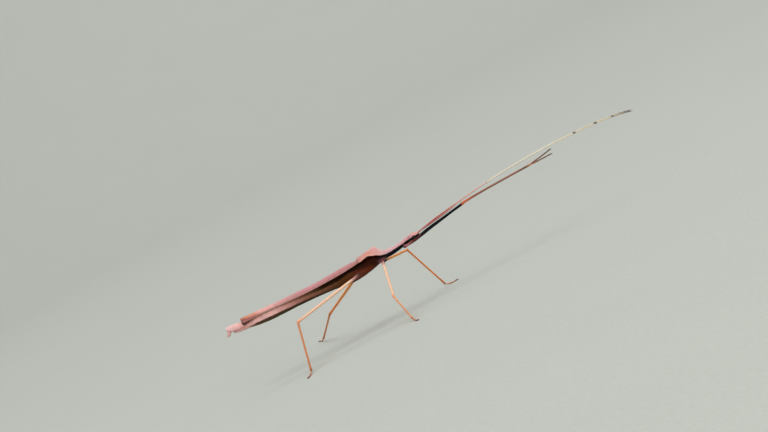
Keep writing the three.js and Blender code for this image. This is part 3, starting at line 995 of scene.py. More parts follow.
class Wardrobe:
    """All finishes, each made once."""

    def __init__(self) -> None:
        """Makes the materials."""
        # Wax bloom over chitin: a soft satin that is never mirror-bright.
        self.trunk = TrunkCuticle(mirror=0.06).make()
        # Thin leathery wing: duller than the body, its relief is the net of veins.
        self.wing = WingMembrane(
            "veined_wing_leather", glossiest=0.42, dullest=0.62, grain=0.06, relief=0.03, mirror=0.2,
            field=WING_FIELD, margin=WING_MARGIN, margin_edge=WING_EDGE, fold=WING_FOLD_LINE_SHADE,
        ).make()
        # Thicker fore wing: paler, with a coarser grain and a salmon rim.
        self.tegmen = WingMembrane(
            "horny_forewing_leather", glossiest=0.4, dullest=0.6, grain=0.07, relief=0.03, mirror=0.2,
            field=TEGMEN_FIELD, margin=TEGMEN_MARGIN, margin_edge=TEGMEN_EDGE, net=0.42,
            vein_tint="#C07A74", vein_ink=0.32, net_ink=0.2,
        ).make()
        # Pale standing legs: almost waxy, so they catch the light along their upper side; their inner faces
        # carry painted shade.
        self.thigh = LengthwiseCuticle(
            "cream_thigh_cuticle", relief=0.01, outer=THIGH_OUTER, inner=THIGH_INNER_SHADE,
        ).make()
        # Shins: the same waxy chitin with a finer grain, its salmon a little deeper towards the ankle, and
        # painted shade on the inner faces.
        self.shin = LengthwiseCuticle(
            "salmon_shin_cuticle", grain=0.07, outer=SHIN_OUTER, inner=SHIN_INNER_SHADE,
        ).make()
        # The hind shins are a deeper amber than the middle ones.
        self.hind_shin = LengthwiseCuticle(
            "amber_shin_cuticle", grain=0.07, outer=HIND_SHIN, inner=SHIN_INNER_SHADE,
        ).make()
        # Feet: tan chitin that darkens towards the claws.
        self.foot = LengthwiseCuticle("tan_foot_cuticle", grain=0.06, outer=FOOT_OUTER).make()
        # Fore thigh: smooth ink-black satin, which sets off the orange knee.
        self.fore_thigh = LengthwiseCuticle(
            "ink_thigh_cuticle", glossiest=0.4, dullest=0.56, mirror=0.05, relief=0.008, outer=FORE_THIGH,
        ).make()
        # Fore shin: rust-brown chitin, redder at the knee and pale at the ankle.
        self.fore_shin = LengthwiseCuticle("rust_shin_cuticle", grain=0.07, outer=FORE_SHIN).make()
        # Fore foot: the same rust chitin, browner and more even.
        self.fore_foot = LengthwiseCuticle("rust_foot_cuticle", grain=0.06, outer=FORE_FOOT).make()
        # Feeler: the same chitin drawn out to a fine rod, so that its rings read as flat dark bands.
        self.feeler = RingedFeeler(
            "ringed_feeler_cuticle", outer=FEELER, rings=FEELER_RINGS, shading=0.12,
        ).make()
        # Feeler base: rose chitin in fine blotches, warmer than the lash that it carries.
        self.scape = PlainCuticle("rose_scape_cuticle", light="#D3908E", deep="#B46A6A").make()
        # Tail plate and tail feelers: thin pale chitin, almost even in shade.
        self.tail = PlainCuticle("pale_tail_cuticle", light="#F4C4BC", deep="#E0AAA2").make()
        # Mouthparts: umber chitin, dark enough to set them off from the face.
        self.mouth = PlainCuticle("umber_mouth_cuticle", light="#7A4A40", deep="#4A2824").make()
        # Horn of the claws and eye rims: harder and glossier than the skin round it.
        self.claw = PlainCuticle(
            "horn_claw", glossiest=0.2, dullest=0.35, light="#5A3222", deep="#2A1610",
        ).make()
        # Lens facets: hard clear chitin over a black pigment, so each one holds a small highlight.
        self.eye = PlainCuticle(
            "faceted_eye_lens", glossiest=0.08, dullest=0.2, mirror=0.2, relief=0.002, coat=0.3,
            light="#140F12", deep="#08080B",
        ).make()


# ------------------------------------------------------------------ delivery
@dataclass(frozen=True)
class Workshop:
    """What every builder is handed: the datum and the finishes."""

    datum: Datum
    finishes: Wardrobe

    def deliver(self, piece: Object, finish: Material, slot: str, *nodes: str) -> None:
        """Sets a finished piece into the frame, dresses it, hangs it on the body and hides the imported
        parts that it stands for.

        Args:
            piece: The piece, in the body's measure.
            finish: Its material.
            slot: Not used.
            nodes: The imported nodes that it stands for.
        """
        piece.data.materials.clear()
        piece.data.materials.append(finish)
        pick(piece)
        piece.location = self.datum.shift
        piece.scale = (MM, MM, MM)
        bpy.ops.object.transform_apply(location=True, rotation=True, scale=True)
        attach(piece, BODY)
        if nodes:
            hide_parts(*nodes)
        LOG.info("%s: %d faces, %s", piece.name, len(piece.data.polygons), finish.name)


# ------------------------------------------------------------------ trunk
# Each row: a place along the body, the back's height, the belly's height, and half the width.
TRUNK = Outline((
    (9.5, 21.85, 19.9, 0.9), (8.0, 21.62, 19.65, 1.05), (6.4, 21.3, 19.3, 0.98), (3.4, 21.12, 18.8, 1.0),
    (0.8, 21.44, 18.65, 1.25), (-1.2, 21.7, 18.35, 1.5), (-5.6, 21.75, 17.35, 1.75),
    (-9.2, 21.85, 16.75, 2.0), (-12.4, 21.95, 16.65, 1.95), (-17.0, 21.78, 17.2, 1.7),
    (-23.0, 21.58, 17.75, 1.55), (-31.0, 21.78, 18.1, 1.5), (-42.0, 22.1, 18.25, 1.35),
    (-48.5, 22.0, 19.1, 1.08), (-50.0, 22.05, 19.7, 1.05), (-53.6, 22.72, 20.25, 1.05),
    (-56.1, 22.7, 21.0, 0.8),
))
HEAD = Outline((
    (9.65, 21.85, 20.15, 0.72), (10.2, 22.02, 19.95, 1.03), (11.1, 22.16, 19.88, 1.18),
    (12.1, 22.1, 20.04, 1.12), (12.9, 21.92, 20.36, 0.86), (13.3, 21.78, 20.6, 0.56),
))
WAIST = 0.42  # height of a section's widest line, as a share of its depth
NECK = 9.58
SEGMENTS = range(2, 11)  # the abdomen's segments that show


def waist_of(top: float, bottom: float) -> float:
    """Height of the widest line of a section."""
    return bottom + WAIST * (top - bottom)


def lift_at(place: Vector) -> float:
    """Tells how high a place lies in the trunk's section.

    Args:
        place: The place.

    Returns:
        Nought at the belly, a half at the widest line and one at the back.
    """
    top, bottom, _ = (HEAD if place.x > NECK else TRUNK).read(place.x)
    middle = waist_of(top, bottom)
    above = place.z - middle
    return 0.5 + 0.5 * above / (top - middle if above > 0 else middle - bottom)


@dataclass(frozen=True)
class Groove:
    """A shallow groove of the skull's roof, on the mid line or on both sides of it."""

    middle: float  # where along the body it is deepest
    reach: float  # how far it runs to either side of that
    half: float
    aside: float = 0.0  # how far off the mid line it lies at its root
    root: float = 0.0
    splay: float = 0.0  # how much it moves outwards for each millimetre ahead of its root
    depth: float = 0.05

    def sink(self, place: Vector) -> float:
        """How deep the groove is at one place of the roof."""
        away = abs(place.y) - self.aside - (place.x - self.root) * self.splay
        return self.depth * bell(away, self.half) * bell(place.x - self.middle, self.reach)


@dataclass
class Trunk:
    """Head, thorax and abdomen under one skin, with a fold at each joint between plates."""

    facets: int = 36
    fit: float = 0.985  # keeps the round skin inside the faceted solids
    pace: float = 0.95
    head_pace: float = 0.4
    tail_pace: float = 0.5
    brow_room: float = 0.4  # the stretch behind the brow that its cap takes up
    nape_room: float = 0.16  # the gap between the head's last ring and the neck joint
    tail_room: float = 0.6  # the stretch ahead of the tail's end that its cap takes up
    neck_girth: float = 0.93
    thorax_breaks: tuple[float, ...] = (9.5, 6.37, -1.17, -12.47)
    abdomen: tuple[float, ...] = (6.2, 6.5, 6.6, 6.3, 5.7, 4.5, 2.9, 2.3)
    tail_end: float = -56.1
    seam_half: float = 0.2
    fold: float = -0.46  # height of the soft fold along the abdomen's flank
    fold_half: float = 0.12
    fold_depth: float = 0.07
    fold_room: float = 0.5
    fold_end: float = -50.0
    keel: Track = Track(-1.0, 9.3)
    keel_rise: float = 0.045
    keel_half: float = 0.1
    roof: float = 0.5  # how high in the section the back begins
    skull: float = 10.2  # where the skull's roof begins
    grooves: tuple[Groove, ...] = (
        Groove(10.9, 0.7, 0.07),
        Groove(12.0, 0.5, 0.08, aside=0.1, root=11.4, splay=0.4),
    )
    hip_place: float = -1.0
    hip_spread: float = 1.15
    hip_top: float = 19.75
    hip_strength: float = 1.25
    front_rim: Marks = ((0.0, 0.925), (0.1, 0.962), (0.32, 0.982))
    back_rim: Marks = ((0.4, 0.99), (0.12, 1.01), (0.02, 0.985))
    brow_cap: Marks = ((0.01, 0.3), (0.05, 0.6), (0.14, 0.82), (0.3, 0.95))
    tail_cap: Marks = ((0.5, 0.985), (0.22, 0.93), (0.08, 0.78), (0.01, 0.45))

    def breaks(self) -> list[float]:
        """Places the joints between plates.

        Returns:
            Their places, from the neck to the tail.
        """
        places = list(self.thorax_breaks)
        for length in self.abdomen:
            places.append(places[-1] - length)
        return places

    def stretch(self, front: float, back: float, pace: float) -> list[tuple[float, float]]:
        """Spaces rings along one plate.

        Args:
            front: Its front end.
            back: Its back end.
            pace: The distance between rings.

        Returns:
            Each ring's place and how much of the full girth it has.
        """
        start, stop = front - self.front_rim[-1][0], back + self.back_rim[0][0]
        count = max(2, round((start - stop) / pace))
        middle = [(start + (stop - start) * i / count, 1.0) for i in range(1, count)]
        head = [(front - inset, girth) for inset, girth in self.front_rim]
        tail = [(back + inset, girth) for inset, girth in self.back_rim]
        return [*head, *middle, *tail]

    def stations(self) -> list[tuple[float, float]]:
        """Spaces rings over the whole skin, from the brow to the tail.

        Returns:
            Each ring's place and how much of the full girth it has.
        """
        brow = HEAD.rows[-1][0]
        rings = [(brow - inset, girth) for inset, girth in self.brow_cap]
        nape, room = self.thorax_breaks[0] + self.nape_room, self.brow_room
        count = round((brow - nape) / self.head_pace)
        rings += [(brow - room + (nape - brow + room) * i / count, 1.0) for i in range(count + 1)]
        rings += [(NECK, self.neck_girth)]
        joints = self.breaks()
        for front, back in zip(joints, joints[1:]):
            rings += self.stretch(front, back, self.pace)
        last = self.stretch(joints[-1], self.tail_end, self.tail_pace)
        rings += [ring for ring in last if ring[0] > self.tail_end + self.tail_room]
        return [*rings, *((self.tail_end + inset, girth) for inset, girth in self.tail_cap)]

    def ring(self, x: float, girth: float) -> Ring:
        """Sizes one section of the skin.

        Args:
            x: Where it lies along the body.
            girth: How much of the full girth it has.

        Returns:
            The section.
        """
        top, bottom, half = (HEAD if x > NECK else TRUNK).read(x)
        scale = girth * self.fit
        return Ring(x, 0.0, waist_of(top, bottom), half * scale, (top - bottom) * scale)

    def profile(self) -> list[tuple[float, float]]:
        """Draws an egg-shaped section of unit size, deeper above its widest line than below.

        Returns:
            Its corners, across and up.
        """
        turns = (math.tau * i / self.facets for i in range(self.facets))
        corners = ((math.cos(turn), math.sin(turn)) for turn in turns)
        return [(across, up * ((1 - WAIST) if up > 0 else WAIST)) for across, up in corners]

    def carve(self, place: Vector) -> Vector:
        """Adds the keel, the flank folds and the grooves of the head to the skin.

        Args:
            place: One place of the plain skin.

        Returns:
            The same place of the finished skin.
        """
        lift = 2 * lift_at(place) - 1
        side = place.y
        if self.fold_end < place.x < self.thorax_breaks[-1] - self.fold_room:
            side *= 1 - self.fold_depth * bell(lift - self.fold, self.fold_half)
        rise = 0.0
        if self.keel.start < place.x < self.keel.end and lift > self.roof:
            rise += self.keel_rise * bell(place.y, self.keel_half)
        if place.x > self.skull and lift > self.roof:
            for groove in self.grooves:
                rise -= groove.sink(place)
        return Vector((place.x, side, place.z + rise))

    def near_hip(self, place: Vector) -> float:
        """How much of the middle hips' mauve shows at a place: it deepens down the flank."""
        near = bell(place.x - self.hip_place, self.hip_spread)
        return self.hip_strength * near * (self.hip_top - place.z)

    def build(self, shop: Workshop) -> None:
        """Sweeps, folds and dresses the skin.

        Args:
            shop: The datum and the finishes.
        """
        rings = [self.ring(x, girth) for x, girth in self.stations()]
        skin = sweep("body_skin", self.profile(), rings, ring_closed=True)
        make_sound(skin, fill=True)
        round_off(skin)
        sculpt(skin, self.carve)
        joints = [NECK, *self.breaks()]
        tag(skin, "along", lambda place: BODY_TRACK.share(place.x))
        tag(skin, "height", lambda place: HEIGHT_TRACK.share(place.z))
        tag(skin, "seam", lambda place: 1 - min(abs(place.x - joint) for joint in joints) / self.seam_half)
        tag(skin, "hip", self.near_hip)
        nodes = ["head", "prothorax", "mesothorax", "metathorax"]
        nodes += [f"abdomen_{number}" for number in SEGMENTS]
        shop.deliver(skin, shop.finishes.trunk, "thorax_cuticle", *nodes)


@dataclass
class TailEnd:
    """The plate under the tip of the abdomen, and the two short feelers of the tail."""

    front: float = -48.9
    back: float = -54.3
    clear: float = 0.06
    thick: float = 0.28
    front_sink: float = 0.34
    sag: float = 0.18
    wrap: float = 56.0
    lip_half: float = 0.12
    taper: float = 0.95  # how much of the wrap is lost at the tip
    taper_power: int = 5
    draw_in: float = 0.22  # how much of the wrap is lost evenly along the plate
    keel_rise: float = 0.06
    keel_half: float = 0.12
    grid: tuple[int, int] = (26, 22)
    cercus_course: tuple[Place, ...] = ((-55.35, 0.0, 20.95), (-56.0, 0.0, 20.35), (-56.56, 0.0, 19.68))
    cercus_girths: Marks = (
        (0.0, 0.48), (0.15, 0.58), (0.4, 0.57), (0.7, 0.5), (0.88, 0.4), (0.96, 0.26), (1.0, 0.08),
    )
    cercus_flat: float = 0.74
    cercus_spread: float = 0.5

    def cup(self, place: Vector) -> Vector:
        """Bends a flat unit sheet to the boat-shaped plate under the belly.

        Args:
            place: One place of the sheet.

        Returns:
            The same place of the plate.
        """
        share, across = 0.5 - place.x, 2 * place.y
        x = self.front + (self.back - self.front) * share
        top, bottom, half = TRUNK.read(x)
        outer = self.clear + self.thick - self.front_sink * bell(share, self.lip_half)
        narrowing = math.sqrt(max(1 - self.taper * share**self.taper_power, 0.0))
        turn = across * math.radians(self.wrap) * narrowing * (1 - self.draw_in * share)
        keel = self.keel_rise * bell(across, self.keel_half)
        depth = waist_of(top, bottom) - bottom + outer + self.sag * math.sin(math.pi * share) + keel
        return Vector((x, (half + outer) * math.sin(turn), waist_of(top, bottom) - depth * math.cos(turn)))

    def build(self, shop: Workshop) -> None:
        """Shapes and dresses the plate and both tail feelers.

        Args:
            shop: The datum and the finishes.
        """
        put_down()
        along, across = self.grid
        bpy.ops.mesh.primitive_grid_add(x_subdivisions=along, y_subdivisions=across, size=1.0)
        plate = bpy.context.object
        plate.name = "tail_plate"
        sculpt(plate, self.cup)
        refine(plate, "SOLIDIFY", thickness=self.thick, offset=1.0, use_even_offset=True)
        make_sound(plate)
        round_off(plate)
        shop.deliver(plate, shop.finishes.tail, "abdomen_cuticle", "subgenital_plate")
        for side in Side:
            route = Route(self.cercus_course)
            cercus = rod(f"tail_feeler_{side.label}", route, list(self.cercus_girths))
            offset = self.cercus_spread * side.value
            sculpt(cercus, lambda place: Vector((place.x, place.y * self.cercus_flat + offset, place.z)))
            round_off(cercus)
            shop.deliver(cercus, shop.finishes.tail, "abdomen_cuticle", f"cercus_{side.label}")


# ------------------------------------------------------------------ head
@dataclass
class HeadParts:
    """Eyes with honeycomb facets, their rims, simple eyes and the mouth."""

    eye: Place = (11.35, 1.09, 20.88)
    eye_radii: Place = (0.57, 0.37, 0.44)
    eye_fineness: int = 4
    cut: int = 33  # per cent of an edge that a corner's cell takes up
    facet_rim: float = 0.006
    rim_girth: float = 0.055
    rim_depth: float = 0.6
    rim_fit: float = 0.985
    rim_proud: float = 0.02
    ocelli: tuple[Place, ...] = ((12.35, 0.0, 21.97), (12.0, 0.2, 22.03), (12.0, -0.2, 22.03))
    ocellus: float = 0.08
    lip: tuple[Place, Place] = ((13.1, 0.0, 20.5), (0.4, 0.44, 0.34))
    jaw_block: tuple[Place, Place] = ((12.6, 0.0, 20.12), (0.8, 0.5, 0.34))
    jaw: tuple[Place, ...] = ((12.5, 0.5, 20.4), (13.15, 0.52, 20.2), (13.55, 0.1, 20.0))
    jaw_beads: Marks = ((0.0, 0.12), (0.3, 0.2), (0.6, 0.19), (0.85, 0.12), (1.0, 0.04))
    palp: tuple[Place, ...] = (
        (12.3, 0.38, 20.1), (12.7, 0.56, 19.9), (13.15, 0.6, 19.86), (13.5, 0.5, 19.78),
    )
    lip_palp: tuple[Place, ...] = ((12.4, 0.16, 19.95), (12.8, 0.26, 19.8), (13.2, 0.26, 19.7))
    lip_palp_girth: float = 0.75
    palp_beads: Marks = (
        (0.0, 0.07), (0.18, 0.1), (0.22, 0.06), (0.42, 0.1), (0.46, 0.06), (0.68, 0.105), (0.72, 0.06),
        (0.88, 0.1), (0.97, 0.07), (1.0, 0.03),
    )

    def eye_ball(self, side: Side) -> Object:
        """A compound eye: a geodesic ball cut to a honeycomb, each cell raised as a lens.

        Args:
            side: Which eye.

        Returns:
            The eye.
        """
        put_down()
        bpy.ops.mesh.primitive_ico_sphere_add(subdivisions=self.eye_fineness)
        eye = bpy.context.object
        eye.name = f"compound_eye_{side.label}"
        bpy.ops.object.mode_set(mode="EDIT")
        bpy.ops.mesh.select_all(action="SELECT")
        bpy.ops.mesh.bevel(offset_type="PERCENT", offset_pct=self.cut, affect="VERTICES")
        bpy.ops.mesh.select_all(action="SELECT")
        bpy.ops.mesh.inset(thickness=self.facet_rim, depth=self.facet_rim, use_individual=True)
        object_mode()
        eye.location = side.point(self.eye)
        eye.scale = self.eye_radii
        bpy.ops.object.transform_apply(location=True, rotation=True, scale=True)
        bpy.ops.object.shade_smooth()
        return eye

    def eye_rim(self, side: Side) -> Object:
        """The raised ring of skin that holds an eye.

        Args:
            side: Which eye.

        Returns:
            The ring.
        """
        put_down()
        bpy.ops.mesh.primitive_torus_add(
            major_segments=40, minor_segments=10, major_radius=1.0,
            minor_radius=self.rim_girth / self.rim_depth, rotation=(math.pi / 2, 0.0, 0.0),
        )
        rim = bpy.context.object
        rim.name = f"eye_rim_{side.label}"
        bpy.ops.object.transform_apply(location=False, rotation=True, scale=False)
        long, _, tall = self.eye_radii
        rim.scale = (long * self.rim_fit, self.rim_depth, tall * self.rim_fit)
        rim.location = side.point((self.eye[0], self.eye[1] + self.rim_proud, self.eye[2]))
        bpy.ops.object.transform_apply(location=True, rotation=True, scale=True)
        bpy.ops.object.shade_smooth()
        return rim

    def mouth(self) -> Object:
        """Upper lip, jaws and the two pairs of jointed palps.

        Returns:
            The mouth as one piece.
        """
        parts = [
            ball(name, Vector(centre), radii, facets=20)
            for name, (centre, radii) in (("lip", self.lip), ("jaw_block", self.jaw_block))
        ]
        lip_palp_beads = [(share, girth * self.lip_palp_girth) for share, girth in self.palp_beads]
        for side in Side:
            for name, course, beads in (
                ("jaw", self.jaw, self.jaw_beads),
                ("palp", self.palp, self.palp_beads),
                ("lip_palp", self.lip_palp, lip_palp_beads),
            ):
                parts.append(rod(name, Route(side.point(place) for place in course), list(beads)))
        mouth = join("mouth", parts)
        pick(mouth)
        bpy.ops.object.shade_smooth()
        return mouth

    def build(self, shop: Workshop) -> None:
        """Builds and dresses everything that the skull carries but the feelers.

        Args:
            shop: The datum and the finishes.
        """
        for side in Side:
            shop.deliver(self.eye_ball(side), shop.finishes.eye, "eye", f"eye_{side.label}")
            shop.deliver(self.eye_rim(side), shop.finishes.claw, "dark_cuticle")
        spots = [ball("ocelli", Vector(place), (self.ocellus,) * 3) for place in self.ocelli]
        shop.deliver(join("ocelli", spots), shop.finishes.eye, "eye")
        shop.deliver(self.mouth(), shop.finishes.mouth, "dark_cuticle", "mouthparts")


@dataclass
class Feelers:
    """The two long jointed feelers, stretched forward close together."""

    socket: Place = (12.95, 0.36, 21.36)
    scape_end: Place = (14.9, 0.38, 21.77)
    scape_girths: Marks = (
        (0.0, 0.22), (0.12, 0.24), (0.2, 0.3), (0.4, 0.32), (0.68, 0.3), (0.76, 0.22), (0.8, 0.27),
        (0.92, 0.28), (0.98, 0.24), (1.0, 0.18),
    )
    lash: Rows = (
        (14.8, 0.38, 21.76, 0.0), (20.0, 0.42, 22.43, 0.3), (24.0, 0.47, 22.98, 0.38),
        (26.0, 0.49, 23.35, 0.35), (28.5, 0.53, 23.93, 0.1), (31.5, 0.57, 24.42, 0.0),
        (38.2, 0.7, 25.26, 0.0), (50.0, 1.0, 26.25, 0.0), (64.0, 1.5, 26.64, 0.0),
        (78.3, 2.1, 26.16, 0.0), (86.0, 2.45, 25.3, 0.0), (91.1, 2.7, 24.3, 0.0),
    )
    joints: int = 58
    joint_half: float = 0.16
    swell: Outline = Outline((
        (0.0, 0.29), (0.06, 0.265), (0.14, 0.225), (0.3, 0.2), (0.7, 0.18), (1.0, 0.135),
    ))
    bead: Marks = ((0.04, 0.95), (0.3, 0.97), (0.8, 1.04), (0.97, 1.0))
    tip_cap: Marks = ((0.996, 0.9), (0.9995, 0.4))

    def girths(self) -> list[tuple[float, float]]:
        """The lash's joints, each a little wider at its far end.

        Returns:
            Shares of the length, each with the radius there.
        """
        rings = [
            ((number + part) / self.joints, girth * self.swell.read(number / self.joints)[0])
            for number in range(self.joints)
            for part, girth in self.bead
        ]
        tip = self.swell.rows[-1][1]
        return [*rings[:-1], *((share, tip * girth) for share, girth in self.tip_cap)]

    def build(self, shop: Workshop) -> None:
        """Builds and dresses a base and a lash on each side.

        Args:
            shop: The datum and the finishes.
        """
        for side in Side:
            line = Route((side.point(self.socket), side.point(self.scape_end)))
            scape = rod(f"scape_{side.label}", line, list(self.scape_girths), facets=16)
            round_off(scape)
            shop.deliver(scape, shop.finishes.scape, "feeler", f"antenna_base_{side.label}")
            route = Route(side.course(self.lash))
            lash = rod(f"lash_{side.label}", route, self.girths(), facets=10)
            pick(lash)
            bpy.ops.object.shade_smooth()
            tag(lash, "reach", lambda place: FEELER_TRACK.share(place.x))
            tag(lash, "inner", lambda place: 0.0)
            marks = [route.at(joint / self.joints).x for joint in range(self.joints + 1)]
            tag(lash, "seam", lambda place: 1 - min(abs(place.x - mark) for mark in marks) / self.joint_half)
            shop.deliver(lash, shop.finishes.feeler, "feeler", f"antenna_flagellum_{side.label}")


# ------------------------------------------------------------------ wings
@dataclass(frozen=True)
class FoldedWing:
    """A wing folded along the body: an arched sheet from the mid line down to its outer edge."""

    label: str
    node: str
    outline: Outline
    veins: tuple[float, ...]
    thick: float
    pace: float
    round_tip: float
    hump: bool = False
    lie: float = -1.0  # which way its thickness goes from the drawn sheet: -1 inwards, 1 outwards
    midline: float = 0.008
    vein_half: float = 0.011
    vein_rise: float = 0.022
    tip_girth: float = 0.3

    COLUMNS = 26
    VEIN_ROOM = 1.5  # how much of a vein's half width stays free of other points on each side of it
    ROUND_OUT = 0.9  # how boldly the arch swells outwards; less is bolder
    ROUND_FALL = 0.8  # how boldly it falls at its edge; less is bolder
    SINK = 0.01  # how far the sheet lies under its stated top
    PAST_EDGE = 1.2
    TIP_STEPS = (1.0, 0.7, 0.45, 0.27, 0.14, 0.05, 0.0)
    HUMP_TOP = -1.75
    HUMP_RISE = 1.5
    HUMP_AHEAD = 1.7
    HUMP_BEHIND = 5.0
    HUMP_POWER = 1.3
    HUMP_ACROSS = 0.42
    HUMP_SPREAD = 0.38

    def columns(self) -> list[float]:
        """Spaces the points of a section: an even spread, and three for each vein.

        Returns:
            Their places, from 0 at the mid line to 1 at the outer edge.
        """
        room = self.vein_half * self.VEIN_ROOM
        even = [i / self.COLUMNS for i in range(self.COLUMNS + 1)]
        clear = [place for place in even if all(abs(place - vein) > room for vein in self.veins)]
        ribs = [vein + step * self.vein_half for vein in self.veins for step in (-1, 0, 1)]
        return sorted(place for place in {*clear, *ribs} if 0 <= place <= 1)

    def section(self) -> list[tuple[float, float]]:
        """Draws the arched section of unit size, with a rib at each vein.

        Returns:
            Its points, across and up.
        """
        points = []
        for place in self.columns():
            bend = place * math.pi / 2
            out, fall = math.sin(bend) ** self.ROUND_OUT, 1 - max(math.cos(bend), 0.0) ** self.ROUND_FALL
            swell = 1 + (self.vein_rise if place in self.veins else 0.0)
            points.append((out * swell, (1 - fall) * swell - 1))
        return points

    def rings(self) -> list[Ring]:
        """Spaces and sizes the sections along the wing, drawn in to a round tip.

        Returns:
            The sections, from the root to the tip.
        """
        start, stop = self.outline.rows[0][0], self.outline.rows[-1][0]
        count = round((start - stop) / self.pace)
        places = [start + (stop - start) * i / count for i in range(count)]
        places = [place for place in places if place > stop + self.round_tip]
        places += [stop + self.round_tip * part for part in self.TIP_STEPS]
        rings = []
        for x in places:
            top, half, drop = self.outline.read(x)
            near = min((x - stop) / self.round_tip, 1.0)
            scale = self.tip_girth + (1 - self.tip_girth) * math.sqrt(1 - (1 - near) ** 2)
            wide = (half - self.midline) * scale
            rings.append(Ring(x, self.midline, top - self.SINK, wide, drop * scale))
        return rings

    def rise(self, place: Vector, across: float) -> float:
        """Tells how high the shoulder hump is.

        Args:
            place: One place of the wing.
            across: How far it lies from the mid line towards the outer edge.

        Returns:
            The hump's height there.
        """
        away = place.x - self.HUMP_TOP
        long = max(0.0, 1 - abs(away) / (self.HUMP_AHEAD if away > 0 else self.HUMP_BEHIND))
        wide = max(0.0, 1 - abs(across - self.HUMP_ACROSS) / self.HUMP_SPREAD)
        return self.HUMP_RISE * long**self.HUMP_POWER * math.sin(wide * math.pi / 2)

    def across(self, place: Vector) -> float:
        """Tells how far a place lies from the mid line towards the outer edge.

        Args:
            place: One place of the wing.

        Returns:
            Nought at the mid line and one at the outer edge.
        """
        top, half, drop = self.outline.read(place.x)
        out = min(max((abs(place.y) - self.midline) / (half - self.midline), 0.0), self.PAST_EDGE)
        left = min(max((place.z - top + drop) / drop, 0.0), self.PAST_EDGE)
        return math.atan2(out ** (1 / self.ROUND_OUT), left ** (1 / self.ROUND_FALL)) / (math.pi / 2)

    def on_vein(self, across: float) -> float:
        """One on a vein's crest, falling to nought at its feet."""
        return 1 - min(abs(across - vein) for vein in self.veins) / self.vein_half

    def build(self, shop: Workshop, finish: Material) -> None:
        """Builds and dresses the wing of each side.

        Args:
            shop: The datum and the finishes.
            finish: The wing's material.
        """
        for side in Side:
            wing = sweep(f"{self.label}_{side.label}", self.section(), self.rings(), ring_closed=False)
            tag(wing, "across", self.across)
            tag(wing, "vein", lambda place: self.on_vein(self.across(place)))
            tag(wing, "along", lambda place: BODY_TRACK.share(place.x))
            if self.hump:
                sculpt(wing, lambda place: place + UP * self.rise(place, self.across(place)))
            make_sound(wing)
            refine(wing, "SOLIDIFY", thickness=self.thick, offset=self.lie)
            sculpt(wing, lambda place: Vector((place.x, place.y * side.value, place.z)))
            make_sound(wing)
            round_off(wing)
            shop.deliver(wing, finish, "wing", f"{self.node}_{side.label}")


# Each row of a wing: a place along the body, the top's height, half the width, and the drop of its edge.
HIND_WING = FoldedWing(
    "folded_wing", "hind_wing",
    Outline((
        (-2.6, 22.1, 1.3, 0.6), (-4.4, 22.42, 1.45, 0.7), (-8.0, 22.48, 1.8, 0.8),
        (-10.0, 22.68, 2.1, 1.22), (-13.5, 22.66, 2.15, 1.5), (-18.5, 22.42, 2.1, 1.5),
        (-24.0, 22.26, 1.98, 1.45),
        (-31.0, 22.46, 1.92, 1.5), (-39.0, 22.7, 1.82, 1.28), (-45.0, 22.98, 1.68, 1.32),
        (-48.4, 23.16, 1.56, 1.6), (-50.4, 23.24, 1.3, 1.75),
    )),
    veins=(0.1, 0.24, 0.36, 0.47, 0.58, 0.69, 0.8, 0.9, 0.985), thick=0.14, pace=0.95, round_tip=1.0,
    tip_girth=0.6,
)
TEGMEN = FoldedWing(
    "fore_wing", "tegmen",
    Outline((
        (0.75, 21.36, 1.05, 1.1), (0.15, 21.78, 1.55, 1.38), (-0.7, 22.14, 2.0, 1.5),
        (-1.75, 22.55, 2.16, 1.27), (-3.0, 22.7, 2.05, 1.0), (-4.4, 22.93, 1.98, 0.62),
        (-6.3, 23.2, 2.2, 1.2), (-8.3, 23.0, 2.38, 1.5),
    )),
    veins=(0.14, 0.3, 0.44, 0.58, 0.72, 0.86, 0.985), thick=0.16, pace=0.3, round_tip=1.4, hump=True,
    lie=1.0,
)


# ------------------------------------------------------------------ legs
@dataclass(frozen=True)
class LegSize:
    """Lengths and girths of one pair of standing legs."""

    femur: float
    tibia: float
    tarsus: float
    thick: float
    shin: float
    foot: float
    coxa: float
    swell: float


@dataclass(frozen=True)
class Stance:
    """How one standing leg is set: its hip, the turn and rise of its thigh, and its turns below."""

    pair: Pair
    side: Side
    size: LegSize
    hip: Place
    thigh: tuple[float, float]
    shin_turn: float
    foot_turn: float


HIND_SIZE = LegSize(
    femur=24.0, tibia=24.2, tarsus=7.0, thick=0.49, shin=0.38, foot=0.32, coxa=1.9, swell=0.92,
)
MID_SIZE = LegSize(
    femur=14.6, tibia=17.0, tarsus=5.2, thick=0.44, shin=0.34, foot=0.3, coxa=1.7, swell=1.14,
)
STANCES = (
    Stance(Pair.HIND, Side.RIGHT, HIND_SIZE, (-10.15, -2.66, 18.24), (-170.5, -9.4), -91.5, -98.0),
    Stance(Pair.HIND, Side.LEFT, HIND_SIZE, (-10.1, 2.6, 18.3), (137.4, -21.7), 112.5, 113.0),
    Stance(Pair.MID, Side.RIGHT, MID_SIZE, (-1.05, -1.45, 18.45), (-96.4, -46.6), -77.0, -68.0),
    Stance(Pair.MID, Side.LEFT, MID_SIZE, (-0.7, 1.35, 18.2), (61.2, -5.6), 18.0, 26.0),
)
ANKLE_HEIGHT = 0.85
FOOT_GIRTH = 0.72  # the real foot's girth, as a share of the solid's


